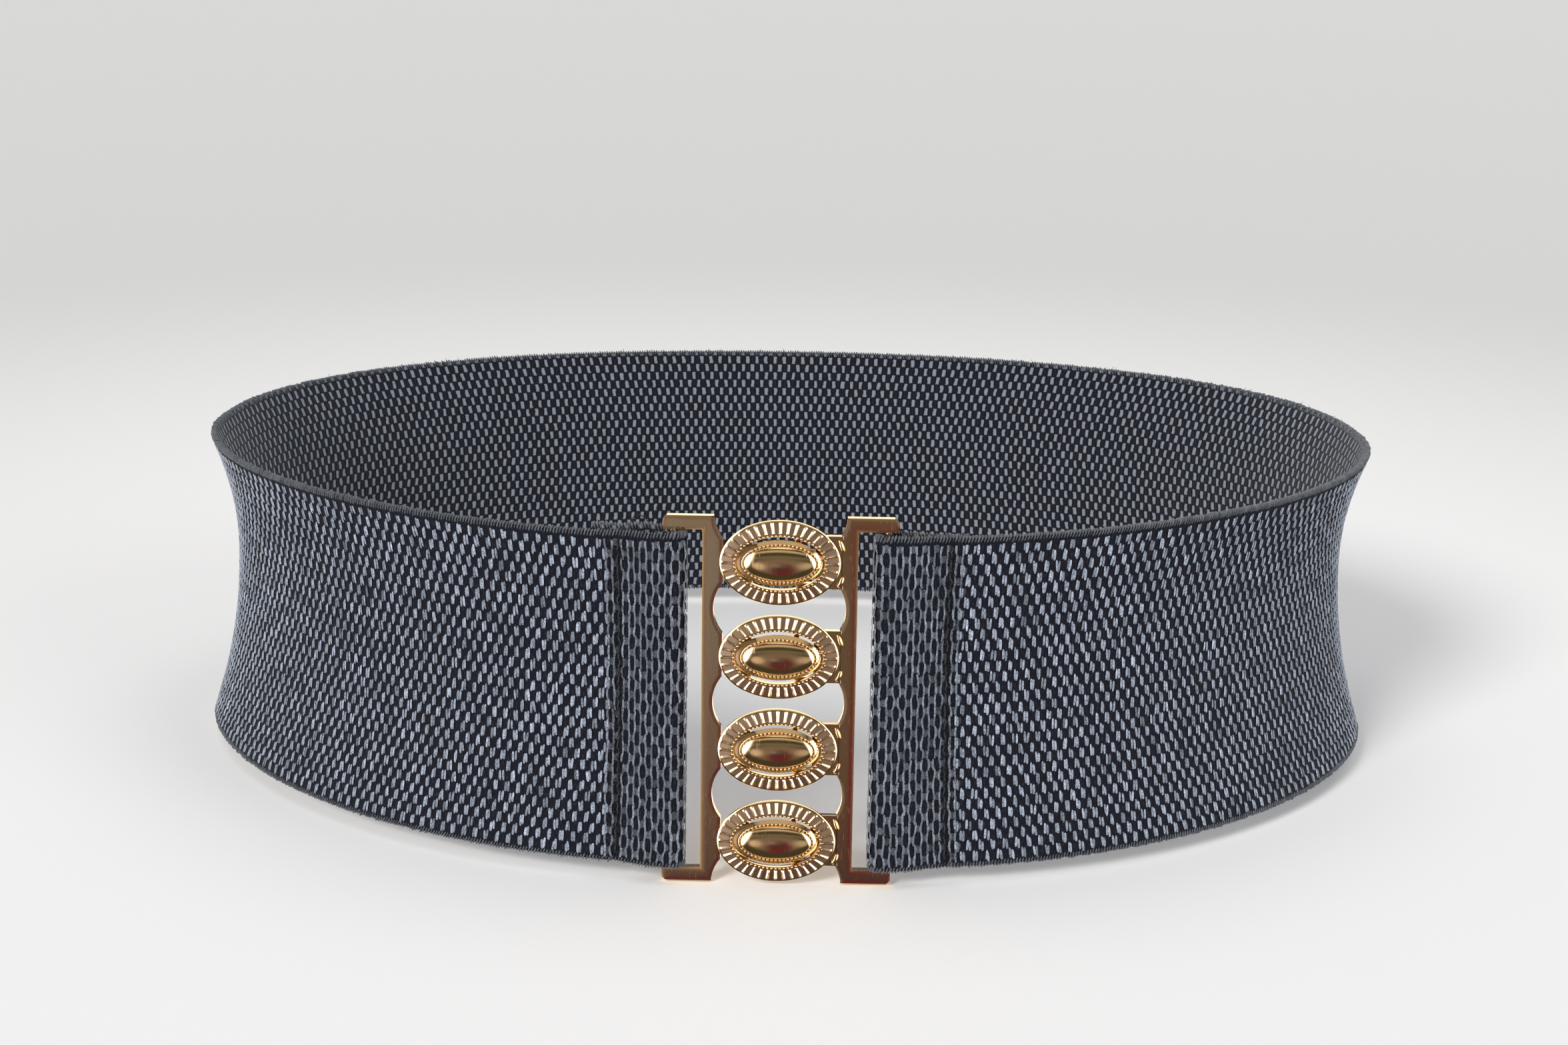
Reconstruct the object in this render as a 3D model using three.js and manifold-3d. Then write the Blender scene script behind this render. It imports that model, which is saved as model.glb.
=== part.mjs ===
// An elastic stretch belt: one strip of wide woven elastic, closed at the front by a two-part cast
// clasp with four oval medallions. Millimetres, +Z up. The belt's axis is Z and the clasp faces -Y.
// The origin is the middle of the waist, halfway up the webbing.
import * as THREE from 'three';
import { mergeVertices } from 'three/addons/utils/BufferGeometryUtils.js';
import Module from 'manifold-3d';

const wasm = await Module();
wasm.setup();

// The webbing, and the waist that it goes round.
const WEB_WIDTH = 75;
const WEB_THICKNESS = 1.7;
const INNER_HALF_WIDTH = 138;
const INNER_HALF_DEPTH = 96;
const FRONT_ROUNDNESS = 1.8;
const BACK_ROUNDNESS = 2.2;
const SLANT = THREE.MathUtils.degToRad(4);
const TOP_FLARE = 6;
const BOTTOM_FLARE = 9;
const NARROWEST_LEVEL = 0.14;
const FOLDED_LENGTH = 17;
const EYE_LENGTH = 9;

// The clasp's bars, arms and plates.
const BAR_RADIUS = 1.1;
const BAR_CLEARANCE = 0.35;
const PLATE_THICKNESS = 2;
const PLATE_STRIP = 2.4;
const WEB_TO_PLATE = 3.3;
const ARM_HEIGHT = 3.05;
const ARM_CLEARANCE = 0.65;
const ARM_PAST_BAR = 0.95;
const CORNER_RADIUS = 0.8;
const SCALLOP_DEPTH = 2;

// The medallions on the left half.
const MEDALLIONS = 4;
const MEDALLION_WIDTH = 26;
const MEDALLION_SPACE = 2.3;
const END_MARGIN = 0.55;
const RIM_WIDTH = 3.5;
const RIM_HEIGHT = 2.1;
const FLUTES = 36;
const FLUTE_DEPTH = 0.45;
const CHANNEL_SIDE = 1.2;
const CHANNEL_TOP = 1.45;
const DOME_RISE = 3.1;
const BEZEL_RISE = 1.4;
const BEZEL_WIDTH = 0.5;
const LOBE_HEIGHT = 9.5;
const LOBE_OVERLAP = 0.7;
const LOBE_CROSS = 1.2;
const TONGUE_UNDER_DOME = 2.5;
const BRIDGE_HEIGHT = 2.4;
const BRIDGE_THICKNESS = 0.8;

// The hooks behind the medallions and the loops that they hold.
const PART_GAP = 0.3;
const WELD = 0.3;
const LOOP_HEIGHT = 11.7;
const LOOP_WALL = 1.3;
const LOOP_END = 3.1;
const LOOP_THICKNESS = 1.6;
const LOOP_SLOT = 3;
const LOOP_CORNER = 1.6;
const HOOK_HEIGHT = 3.2;
const FOOT_THICKNESS = 1.2;
const FOOT_REACH = 3.2;

// How finely the curves are divided.
const LEVELS = 7;
const BAND_STEP = 9.5;
const FOLD_STEP = 3;
const ROUND_STEPS = 7;
const BAR_SIDES = 14;
const SCALLOP_STEPS = 8;
const DOME_SIDES = 28;
const DOME_RINGS = 3;

// Sizes that follow from those above.
const SLOT_HALF = WEB_WIDTH / 2 + ARM_CLEARANCE;
const CLASP_HALF = SLOT_HALF + ARM_HEIGHT;
const PITCH = (2 * CLASP_HALF - 2 * END_MARGIN + MEDALLION_SPACE) / MEDALLIONS;
const MEDALLION_HEIGHT = PITCH - MEDALLION_SPACE;
const LOBE_X = MEDALLION_WIDTH / 2 - LOBE_OVERLAP;
const SLOT_X = LOBE_X + SCALLOP_DEPTH + PLATE_STRIP;
const EYE_RADIUS = BAR_RADIUS + BAR_CLEARANCE;
const BAR_X = SLOT_X + WEB_TO_PLATE + WEB_THICKNESS + EYE_RADIUS;
const ARM_X = BAR_X + BAR_RADIUS + ARM_PAST_BAR;
const PLATE_FRONT = -PLATE_THICKNESS / 2;
const PLATE_BACK = PLATE_THICKNESS / 2;
const MEDALLION_BACK = PLATE_FRONT - PART_GAP;
const CHANNEL_HALF_WIDTH = MEDALLION_WIDTH / 2 - RIM_WIDTH;
const CHANNEL_HALF_HEIGHT = MEDALLION_HEIGHT / 2 - RIM_WIDTH;
const DOME_HALF_WIDTH = CHANNEL_HALF_WIDTH - CHANNEL_SIDE;
const DOME_HALF_HEIGHT = CHANNEL_HALF_HEIGHT - CHANNEL_TOP;

const medallionHeights = Array.from(
  { length: MEDALLIONS },
  (_, i) => (i - (MEDALLIONS - 1) / 2) * PITCH
);

// Geometry helpers.

function signedVolume(geometry) {
  const p = geometry.attributes.position;
  const index = geometry.index;
  const [a, b, c] = [new THREE.Vector3(), new THREE.Vector3(), new THREE.Vector3()];
  let volume = 0;
  for (let i = 0; i < index.count; i += 3) {
    a.fromBufferAttribute(p, index.getX(i));
    b.fromBufferAttribute(p, index.getX(i + 1));
    c.fromBufferAttribute(p, index.getX(i + 2));
    volume += a.dot(b.cross(c)) / 6;
  }
  return volume;
}

// An indexed geometry from points and triangles, with its faces turned outwards.
function closedGeometry(points, triangles) {
  const geometry = new THREE.BufferGeometry().setFromPoints(points);
  geometry.setIndex(triangles);
  if (signedVolume(geometry) < 0) {
    for (let i = 0; i < triangles.length; i += 3) {
      [triangles[i], triangles[i + 1]] = [triangles[i + 1], triangles[i]];
    }
    geometry.setIndex(triangles);
  }
  return geometry;
}

// Quads between rings of points that each close on themselves.
function ringWalls(ringCount, ringSize, joinEnds) {
  const triangles = [];
  const last = joinEnds ? ringCount : ringCount - 1;
  for (let r = 0; r < last; r += 1) {
    const here = r * ringSize;
    const next = ((r + 1) % ringCount) * ringSize;
    for (let i = 0; i < ringSize; i += 1) {
      const j = (i + 1) % ringSize;
      triangles.push(here + i, here + j, next + j, here + i, next + j, next + i);
    }
  }
  return triangles;
}

function toSolid(geometry) {
  const bare = geometry.clone();
  bare.deleteAttribute('normal');
  bare.deleteAttribute('uv');
  const merged = mergeVertices(bare, 1e-4);
  return new wasm.Manifold(new wasm.Mesh({
    numProp: 3,
    vertProperties: new Float32Array(merged.attributes.position.array),
    triVerts: new Uint32Array(merged.index.array),
  }));
}

function toGeometry(solid) {
  const mesh = solid.getMesh();
  const geometry = new THREE.BufferGeometry();
  geometry.setAttribute('position', new THREE.BufferAttribute(mesh.vertProperties, 3));
  geometry.setIndex(new THREE.BufferAttribute(mesh.triVerts, 1));
  geometry.computeVertexNormals();
  return geometry;
}

function fuse(geometries) {
  return toGeometry(geometries.map(toSolid).reduce((all, one) => all.add(one)));
}

// A flat shape drawn in X and Z, given its thickness along Y.
function slab(shape, front, back) {
  const geometry = new THREE.ExtrudeGeometry(shape, {
    depth: back - front,
    bevelEnabled: false,
    curveSegments: SCALLOP_STEPS,
  });
  return geometry.rotateX(Math.PI / 2).translate(0, back, 0);
}

function block(x0, x1, front, back, z0, z1) {
  const box = new THREE.BoxGeometry(Math.abs(x1 - x0), back - front, z1 - z0);
  return box.translate((x0 + x1) / 2, (front + back) / 2, (z0 + z1) / 2);
}

// The webbing.

function flare(level) {
  const above = Math.max(level - NARROWEST_LEVEL, 0) / (0.5 - NARROWEST_LEVEL);
  const below = Math.max(NARROWEST_LEVEL - level, 0) / (0.5 + NARROWEST_LEVEL);
  return TOP_FLARE * above ** 2 + BOTTOM_FLARE * below ** 2;
}

// The inner face's plan curve on one side of the belt. Its angle is 0 at the bar, a right angle at
// the hip and a half turn at the middle of the back. It is straight between the two bars.
function waistPoint(angle, level, side) {
  const front = angle < Math.PI / 2;
  const power = 2 / (front ? FRONT_ROUNDNESS : BACK_ROUNDNESS);
  const sin = Math.sin(angle);
  const cos = Math.abs(Math.cos(angle));
  const halfWidth = INNER_HALF_WIDTH + flare(level);
  const halfDepth = INNER_HALF_DEPTH - WEB_WIDTH * level * Math.sin(SLANT);
  const straight = front ? BAR_X : 0;
  const x = straight + (halfWidth - straight) * sin ** power;
  const y = halfDepth * cos ** power * (front ? -1 : 1);
  const tangentX = (halfWidth - straight) * cos ** (2 - power) * (front ? 1 : -1);
  const tangentY = halfDepth * sin ** (2 - power);
  const length = Math.hypot(tangentX, tangentY);
  return { x: x * side, y, outX: (tangentY / length) * side, outY: -tangentX / length };
}

// The angles at the wanted distances along the curve from the bar, and the distances themselves.
function waistStations() {
  const fine = 4000;
  const lengths = [0];
  let last = waistPoint(0, 0, 1);
  for (let i = 1; i <= fine; i += 1) {
    const next = waistPoint((Math.PI * i) / fine, 0, 1);
    lengths.push(lengths[i - 1] + Math.hypot(next.x - last.x, next.y - last.y));
    last = next;
  }
  const half = lengths[fine];
  const eyeSteps = Math.max(2, Math.round(EYE_LENGTH / FOLD_STEP));
  const hemSteps = Math.max(1, Math.round((FOLDED_LENGTH - EYE_LENGTH) / FOLD_STEP));
  const bandSteps = Math.max(4, Math.round((half - FOLDED_LENGTH) / BAND_STEP));
  const wanted = [];
  for (let i = 0; i < eyeSteps; i += 1) wanted.push((EYE_LENGTH * i) / eyeSteps);
  for (let i = 0; i < hemSteps; i += 1) {
    wanted.push(EYE_LENGTH + ((FOLDED_LENGTH - EYE_LENGTH) * i) / hemSteps);
  }
  for (let i = 0; i <= bandSteps; i += 1) {
    wanted.push(FOLDED_LENGTH + ((half - FOLDED_LENGTH) * i) / bandSteps);
  }
  let k = 0;
  const stations = wanted.map((along) => {
    while (k < fine && lengths[k] < along) k += 1;
    return { along, angle: (Math.PI * k) / fine };
  });
  return { stations, eyeSteps, hemSteps };
}

// How far the eye's wall stands off the plan curve, at a distance from the bar.
function eyeOpening(along) {
  const share = Math.max(0, 1 - along / EYE_LENGTH);
  return EYE_RADIUS * share * (2 - share);
}

// The webbing's outline and its two eyes at one level, seen from above.
function webbingSection(level) {
  const { stations, eyeSteps, hemSteps } = waistStations();
  const foldCount = eyeSteps + hemSteps;
  const z = level * WEB_WIDTH * Math.cos(SLANT);
  const at = (station, side, offset) => {
    const p = waistPoint(station.angle, level, side);
    return new THREE.Vector3(p.x + p.outX * offset, p.y + p.outY * offset, z);
  };
  const turn = (side, radius) => {
    const centre = waistPoint(0, level, side);
    const points = [];
    for (let i = 1; i < ROUND_STEPS; i += 1) {
      const angle = (Math.PI * i) / ROUND_STEPS;
      points.push(new THREE.Vector3(
        centre.x - side * Math.sin(angle) * radius,
        centre.y - Math.cos(angle) * radius,
        z
      ));
    }
    return points;
  };
  const outside = (side) => stations.map((s) => at(s, side, WEB_THICKNESS + eyeOpening(s.along)));
  const inside = (side) => stations.slice(foldCount).map((s) => at(s, side, 0));
  const hem = (side) => stations.slice(0, foldCount + 1)
    .map((s) => at(s, side, -WEB_THICKNESS - eyeOpening(s.along)));
  const eye = (side) => {
    const walls = stations.slice(0, eyeSteps);
    return [
      ...walls.map((s) => at(s, side, eyeOpening(s.along))).reverse(),
      ...turn(side, EYE_RADIUS),
      ...walls.map((s) => at(s, side, -eyeOpening(s.along))),
      at(stations[eyeSteps], side, 0),
    ];
  };
  const outline = [
    ...outside(1),
    ...outside(-1).reverse().slice(1),
    ...turn(-1, EYE_RADIUS + WEB_THICKNESS),
    ...hem(-1),
    ...inside(-1),
    ...inside(1).reverse().slice(1),
    ...hem(1).reverse(),
    ...turn(1, EYE_RADIUS + WEB_THICKNESS).reverse(),
  ];
  return [outline, eye(1), eye(-1)].map((loop, i) => {
    const clockwise = THREE.ShapeUtils.isClockWise(loop);
    return clockwise === (i > 0) ? loop : loop.reverse();
  });
}

function webbingGeometry() {
  const sections = [];
  for (let i = 0; i <= LEVELS; i += 1) sections.push(webbingSection(i / LEVELS - 0.5));
  const points = [];
  const triangles = [];
  const starts = [];
  for (let loop = 0; loop < 3; loop += 1) {
    const start = points.length;
    const size = sections[0][loop].length;
    starts.push(start);
    for (const section of sections) points.push(...section[loop]);
    triangles.push(...ringWalls(sections.length, size, false).map((i) => i + start));
  }
  const sizes = sections[0].map((loop) => loop.length);
  for (const level of [0, LEVELS]) {
    const [outline, ...eyes] = sections[level];
    const map = [];
    sizes.forEach((size, loop) => {
      for (let i = 0; i < size; i += 1) map.push(starts[loop] + level * size + i);
    });
    for (const face of THREE.ShapeUtils.triangulateShape([...outline], eyes.map((e) => [...e]))) {
      const [a, b, c] = face.map((i) => map[i]);
      const area = THREE.ShapeUtils.area([points[a], points[b], points[c]]);
      triangles.push(...((area > 0) === (level > 0) ? [a, b, c] : [a, c, b]));
    }
  }
  return closedGeometry(points, triangles);
}

// The clasp. It is drawn in its own plane, X across and Z up, with its front towards -Y.

// A half's frame: a narrow plate with a scalloped edge, two arms, and the slot for the webbing.
function frameShape(side) {
  const halfChord = (PITCH - LOBE_HEIGHT) / 2;
  const radius = (halfChord ** 2 + SCALLOP_DEPTH ** 2) / (2 * SCALLOP_DEPTH);
  const centreX = LOBE_X + SCALLOP_DEPTH - radius;
  const points = [[ARM_X, -CLASP_HALF + CORNER_RADIUS], [ARM_X - CORNER_RADIUS, -CLASP_HALF]];
  for (let i = 0; i <= MEDALLIONS; i += 1) {
    const centreZ = (i - MEDALLIONS / 2) * PITCH;
    const low = Math.max(centreZ - halfChord, -CLASP_HALF);
    const high = Math.min(centreZ + halfChord, CLASP_HALF);
    const from = Math.asin((low - centreZ) / radius);
    const to = Math.asin((high - centreZ) / radius);
    for (let step = 0; step <= SCALLOP_STEPS; step += 1) {
      const angle = from + ((to - from) * step) / SCALLOP_STEPS;
      points.push([centreX + radius * Math.cos(angle), centreZ + radius * Math.sin(angle)]);
    }
  }
  points.push([ARM_X - CORNER_RADIUS, CLASP_HALF], [ARM_X, CLASP_HALF - CORNER_RADIUS]);
  points.push([ARM_X, SLOT_HALF], [SLOT_X, SLOT_HALF], [SLOT_X, -SLOT_HALF], [ARM_X, -SLOT_HALF]);
  return new THREE.Shape(points.map(([x, z]) => new THREE.Vector2(x * side, z)));
}

function barGeometry(side) {
  const length = 2 * SLOT_HALF + ARM_HEIGHT;
  const bar = new THREE.CylinderGeometry(BAR_RADIUS, BAR_RADIUS, length, BAR_SIDES);
  return bar.rotateX(Math.PI / 2).translate(side * BAR_X, 0, 0);
}

function halfFrame(side) {
  return [slab(frameShape(side), PLATE_FRONT, PLATE_BACK), barGeometry(side)];
}

// A medallion's fluted rim: an oval ring with a rounded face and a scalloped outer edge.
function rimGeometry(centreZ) {
  const profile = [
    { across: 0, rise: 0, fluted: 1 },
    { across: 0, rise: 0.5, fluted: 1 },
    { across: 0.4, rise: 1, fluted: 0.7 },
    { across: 0.8, rise: 0.95, fluted: 0.3 },
    { across: 1, rise: 0.7, fluted: 0 },
    { across: 1, rise: 0, fluted: 0 },
  ];
  const sides = FLUTES * 2;
  const points = [];
  for (const { across, rise, fluted } of profile) {
    for (let i = 0; i < sides; i += 1) {
      const angle = (2 * Math.PI * i) / sides;
      const cut = i % 2 ? FLUTE_DEPTH * fluted : 0;
      const inset = RIM_WIDTH * across + (across ? 0 : cut / 2);
      const lowered = across && rise ? cut : 0;
      points.push(new THREE.Vector3(
        (MEDALLION_WIDTH / 2 - inset) * Math.cos(angle),
        MEDALLION_BACK - RIM_HEIGHT * rise + lowered,
        centreZ + (MEDALLION_HEIGHT / 2 - inset) * Math.sin(angle)
      ));
    }
  }
  return closedGeometry(points, ringWalls(profile.length, sides, true));
}

// The domed centre, an oval cabochon in a low bezel.
function domeGeometry(centreZ) {
  const rings = [
    { inset: 0, rise: 0 },
    { inset: 0, rise: BEZEL_RISE },
    { inset: BEZEL_WIDTH, rise: BEZEL_RISE },
  ];
  const points = [];
  const addRing = (halfWidth, halfHeight, rise) => {
    for (let i = 0; i < DOME_SIDES; i += 1) {
      const angle = (2 * Math.PI * i) / DOME_SIDES;
      points.push(new THREE.Vector3(
        halfWidth * Math.cos(angle),
        MEDALLION_BACK - rise,
        centreZ + halfHeight * Math.sin(angle)
      ));
    }
  };
  for (const { inset, rise } of rings) addRing(DOME_HALF_WIDTH - inset, DOME_HALF_HEIGHT - inset, rise);
  for (let r = 1; r <= DOME_RINGS; r += 1) {
    const angle = (Math.PI / 2) * (r / (DOME_RINGS + 1));
    addRing(
      (DOME_HALF_WIDTH - BEZEL_WIDTH) * Math.cos(angle),
      (DOME_HALF_HEIGHT - BEZEL_WIDTH) * Math.cos(angle),
      BEZEL_RISE + (DOME_RISE - BEZEL_RISE) * Math.sin(angle)
    );
  }
  const ringCount = rings.length + DOME_RINGS;
  const triangles = ringWalls(ringCount, DOME_SIDES, false);
  const foot = points.push(new THREE.Vector3(0, MEDALLION_BACK, centreZ)) - 1;
  const crown = points.push(new THREE.Vector3(0, MEDALLION_BACK - DOME_RISE, centreZ)) - 1;
  const top = (ringCount - 1) * DOME_SIDES;
  for (let i = 0; i < DOME_SIDES; i += 1) {
    const j = (i + 1) % DOME_SIDES;
    triangles.push(j, i, foot, top + i, top + j, crown);
  }
  return closedGeometry(points, triangles);
}

// The catch loop's slot and end bar, and the hook that goes through that slot and behind the bar.
const loopSlotStart = LOOP_END + LOOP_WALL;
const loopSlotEnd = loopSlotStart + LOOP_SLOT;
const loopBack = PLATE_FRONT + LOOP_THICKNESS;

function medallionPieces(centreZ) {
  const tongueEnd = DOME_HALF_WIDTH - TONGUE_UNDER_DOME;
  const stemStart = loopSlotStart + PART_GAP;
  const stemEnd = loopSlotEnd - PART_GAP;
  const footBack = loopBack + PART_GAP + FOOT_THICKNESS;
  const tongueHalf = LOBE_HEIGHT / 2;
  const hookLow = centreZ - HOOK_HEIGHT / 2;
  const hookHigh = centreZ + HOOK_HEIGHT / 2;
  return [
    rimGeometry(centreZ),
    domeGeometry(centreZ),
    block(
      -LOBE_X - LOBE_CROSS, -tongueEnd, MEDALLION_BACK - WELD, PLATE_BACK,
      centreZ - tongueHalf, centreZ + tongueHalf
    ),
    block(
      DOME_HALF_WIDTH - WELD, CHANNEL_HALF_WIDTH + WELD,
      MEDALLION_BACK - BRIDGE_THICKNESS, MEDALLION_BACK,
      centreZ - BRIDGE_HEIGHT / 2, centreZ + BRIDGE_HEIGHT / 2
    ),
    block(stemStart, stemEnd, MEDALLION_BACK - WELD, footBack, hookLow, hookHigh),
    block(stemStart - FOOT_REACH, stemEnd, loopBack + PART_GAP, footBack, hookLow, hookHigh),
  ];
}

function loopGeometry(centreZ) {
  const half = LOOP_HEIGHT / 2;
  const inner = half - LOOP_WALL;
  const right = LOBE_X + LOBE_CROSS;
  const loop = new THREE.Shape();
  loop.moveTo(right, centreZ - half);
  loop.lineTo(right, centreZ + half);
  loop.lineTo(LOOP_END + LOOP_CORNER, centreZ + half);
  loop.absarc(
    LOOP_END + LOOP_CORNER, centreZ + half - LOOP_CORNER, LOOP_CORNER, Math.PI / 2, Math.PI, false
  );
  loop.absarc(
    LOOP_END + LOOP_CORNER, centreZ - half + LOOP_CORNER, LOOP_CORNER, Math.PI, 1.5 * Math.PI, false
  );
  const slot = new THREE.Path();
  slot.moveTo(loopSlotStart, centreZ - inner);
  slot.lineTo(loopSlotStart, centreZ + inner);
  slot.lineTo(loopSlotEnd, centreZ + inner);
  slot.lineTo(loopSlotEnd, centreZ - inner);
  loop.holes.push(slot);
  return slab(loop, PLATE_FRONT, loopBack);
}

// The materials and the finished pieces.

const elastic = new THREE.MeshStandardMaterial({ color: 0x5a5f68, roughness: 0.9, metalness: 0 });
const gold = new THREE.MeshStandardMaterial({ color: 0xd9b27c, roughness: 0.2, metalness: 1 });

function named(name, geometry, material) {
  const mesh = new THREE.Mesh(geometry, material);
  mesh.name = name;
  return mesh;
}

const hookHalf = named(
  'hook_half',
  fuse([...halfFrame(-1), ...medallionHeights.flatMap(medallionPieces)]),
  gold
);
const catchHalf = named(
  'catch_half',
  fuse([...halfFrame(1), ...medallionHeights.map(loopGeometry)]),
  gold
);

// The clasp leans with the front of the webbing.
const clasp = new THREE.Group();
clasp.add(hookHalf, catchHalf);
clasp.position.y = -INNER_HALF_DEPTH;
clasp.rotation.x = -SLANT;

const belt = new THREE.Group();
belt.add(named('elastic_webbing', webbingGeometry(), elastic), clasp);

export default belt;
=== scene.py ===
import math

import bpy
import numpy as np
from mathutils import Matrix, Vector


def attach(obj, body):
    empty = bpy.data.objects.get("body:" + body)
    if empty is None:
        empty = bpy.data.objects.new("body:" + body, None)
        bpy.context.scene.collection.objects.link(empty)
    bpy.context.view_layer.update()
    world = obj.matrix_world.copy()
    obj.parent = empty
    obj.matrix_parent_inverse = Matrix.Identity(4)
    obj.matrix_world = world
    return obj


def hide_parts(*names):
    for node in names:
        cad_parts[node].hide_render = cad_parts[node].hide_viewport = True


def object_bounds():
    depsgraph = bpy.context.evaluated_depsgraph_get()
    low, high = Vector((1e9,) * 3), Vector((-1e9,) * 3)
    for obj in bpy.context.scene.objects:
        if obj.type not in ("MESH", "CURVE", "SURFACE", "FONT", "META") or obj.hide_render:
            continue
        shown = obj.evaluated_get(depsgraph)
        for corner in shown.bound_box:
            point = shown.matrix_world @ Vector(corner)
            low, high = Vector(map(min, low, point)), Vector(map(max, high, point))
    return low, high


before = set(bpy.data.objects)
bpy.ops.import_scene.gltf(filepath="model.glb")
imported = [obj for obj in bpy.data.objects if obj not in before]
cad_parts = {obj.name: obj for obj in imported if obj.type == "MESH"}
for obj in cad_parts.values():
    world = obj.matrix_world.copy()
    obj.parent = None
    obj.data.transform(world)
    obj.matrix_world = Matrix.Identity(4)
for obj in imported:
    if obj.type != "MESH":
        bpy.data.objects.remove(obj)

cad_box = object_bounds()

# The photographer's set: a camera a little above the belt, a pale floor that the clasp's lower edge
# just reaches, greyed far off by painted shade, soft lights, and a dim warm room that only the polished metal
# reflects.
AIM = Vector((0.0, -0.092, 0.0))
CAMERA_DISTANCE = 0.500
CAMERA_RAISED = math.radians(16.25)
CAMERA_TURNED = math.radians(1.02)
CAMERA_ROLL = math.radians(0.8)
CAMERA_RIGHT = -0.001
CAMERA_UP = 0.0378
LENS = 52.42

right = Vector((1, 0, 0))
ahead = Vector((0, math.cos(CAMERA_RAISED), -math.sin(CAMERA_RAISED)))
above = Vector((0, math.sin(CAMERA_RAISED), math.cos(CAMERA_RAISED)))
place = AIM - CAMERA_DISTANCE * ahead + CAMERA_RIGHT * right + CAMERA_UP * above
rolled_right = math.cos(CAMERA_ROLL) * right + math.sin(CAMERA_ROLL) * above
rolled_up = math.cos(CAMERA_ROLL) * above - math.sin(CAMERA_ROLL) * right
camera_data = bpy.data.cameras.new("camera")
camera_data.lens = LENS
camera_data.clip_start = 0.01
camera = bpy.data.objects.new("camera", camera_data)
bpy.context.collection.objects.link(camera)
turned = Matrix((rolled_right, rolled_up, -ahead)).transposed().to_4x4()
camera.matrix_world = Matrix.Rotation(CAMERA_TURNED, 4, "Z") @ Matrix.Translation(place) @ turned
bpy.context.scene.camera = camera


def deselect():
    bpy.ops.object.select_all(action="DESELECT")


def add_node(tree, kind, settings=None, **sockets):
    """A node with its settings, and its sockets set to a value or linked to another's output.

    A socket is named by its label, with _ for a space, or by i and its number.
    """
    node = tree.nodes.new(kind)
    for key, value in (settings or {}).items():
        setattr(node, key, value)
    for key, value in sockets.items():
        index = int(key[1:]) if key[0] == "i" and key[1:].isdigit() else key.replace("_", " ")
        socket = node.inputs[index]
        if isinstance(value, bpy.types.NodeSocket):
            tree.links.new(value, socket)
        else:
            socket.default_value = value
    return node


def sums(tree, operation, first, second=0.0, third=0.0):
    """One step of arithmetic in a node tree."""
    settings = {"operation": operation}
    return add_node(tree, "ShaderNodeMath", settings, i0=first, i1=second, i2=third).outputs[0]


def ramp(tree, value, start, end, low=0.0, high=1.0, shape="LINEAR"):
    """The value mapped from start and end to low and high, and held beyond them."""
    settings = {"interpolation_type": shape}
    node = add_node(tree, "ShaderNodeMapRange", settings, i0=value, i1=start, i2=end, i3=low, i4=high)
    return node.outputs[0]


def mixed(tree, amount, first, second, blend="MIX"):
    settings = {"data_type": "RGBA", "blend_type": blend}
    return add_node(tree, "ShaderNodeMix", settings, i0=amount, i6=first, i7=second).outputs[2]


def new_material(name, roughness, metallic=0.0):
    material = bpy.data.materials.new(name)
    material.use_nodes = True
    shader = material.node_tree.nodes["Principled BSDF"]
    shader.inputs["Roughness"].default_value = roughness
    shader.inputs["Metallic"].default_value = metallic
    return material, material.node_tree, shader


# The floor is pale near the belt and painted greyer farther out: a painted falloff of light, not the floor's
# own colour.
FLOOR_SIZE = 12.0
FLOOR_BELOW = 0.0005
FLOOR_COLOUR = (0.97, 0.96, 0.95, 1)
FLOOR_FAR_PAINTED_SHADE = (0.66, 0.665, 0.66, 1)
PAINTED_FALLOFF_SPAN = (0.15, 0.75)
deselect()
bpy.ops.mesh.primitive_plane_add(size=FLOOR_SIZE, location=(0, 0, cad_box[0][2] - FLOOR_BELOW))
floor = bpy.context.object
floor.name = "floor"
floor.visible_glossy = False
floor_paint, tree, shader = new_material("floor_paint", 0.9)
on_floor = add_node(tree, "ShaderNodeTexCoord").outputs["Object"]
from_belt = add_node(tree, "ShaderNodeVectorMath", {"operation": "LENGTH"}, i0=on_floor).outputs["Value"]
# Painted shade: the floor's colour fades from pale to grey with distance from the belt.
painted_falloff = ramp(tree, from_belt, *PAINTED_FALLOFF_SPAN, shape="SMOOTHSTEP")
tree.links.new(mixed(tree, painted_falloff, FLOOR_COLOUR, FLOOR_FAR_PAINTED_SHADE), shader.inputs["Base Color"])
floor.data.materials.append(floor_paint)

SOFT_LIGHTS = [
    {"name": "key", "from": (-0.50, -0.75, 0.60), "strength": 1.95, "spread": 18, "colour": (1, 0.985, 0.96)},
    {"name": "fill", "from": (0.80, -0.55, 0.35), "strength": 0.70, "spread": 40, "colour": (0.96, 0.98, 1)},
    {"name": "top", "from": (0.05, 0.10, 1.00), "strength": 0.65, "spread": 60, "colour": (1, 1, 1)},
]
for soft in SOFT_LIGHTS:
    light_data = bpy.data.lights.new(soft["name"], "SUN")
    light_data.energy = soft["strength"]
    light_data.angle = math.radians(soft["spread"])
    light_data.color = soft["colour"]
    light = bpy.data.objects.new(soft["name"], light_data)
    light.visible_glossy = False
    bpy.context.collection.objects.link(light)
    light.matrix_world = (-Vector(soft["from"])).to_track_quat("-Z", "Y").to_matrix().to_4x4()


WORLD_PALE = (0.80, 0.80, 0.795, 1)
WORLD_DIM = (0.30, 0.31, 0.33, 1)
ROOM_DARK = (0.060, 0.054, 0.034)
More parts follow.
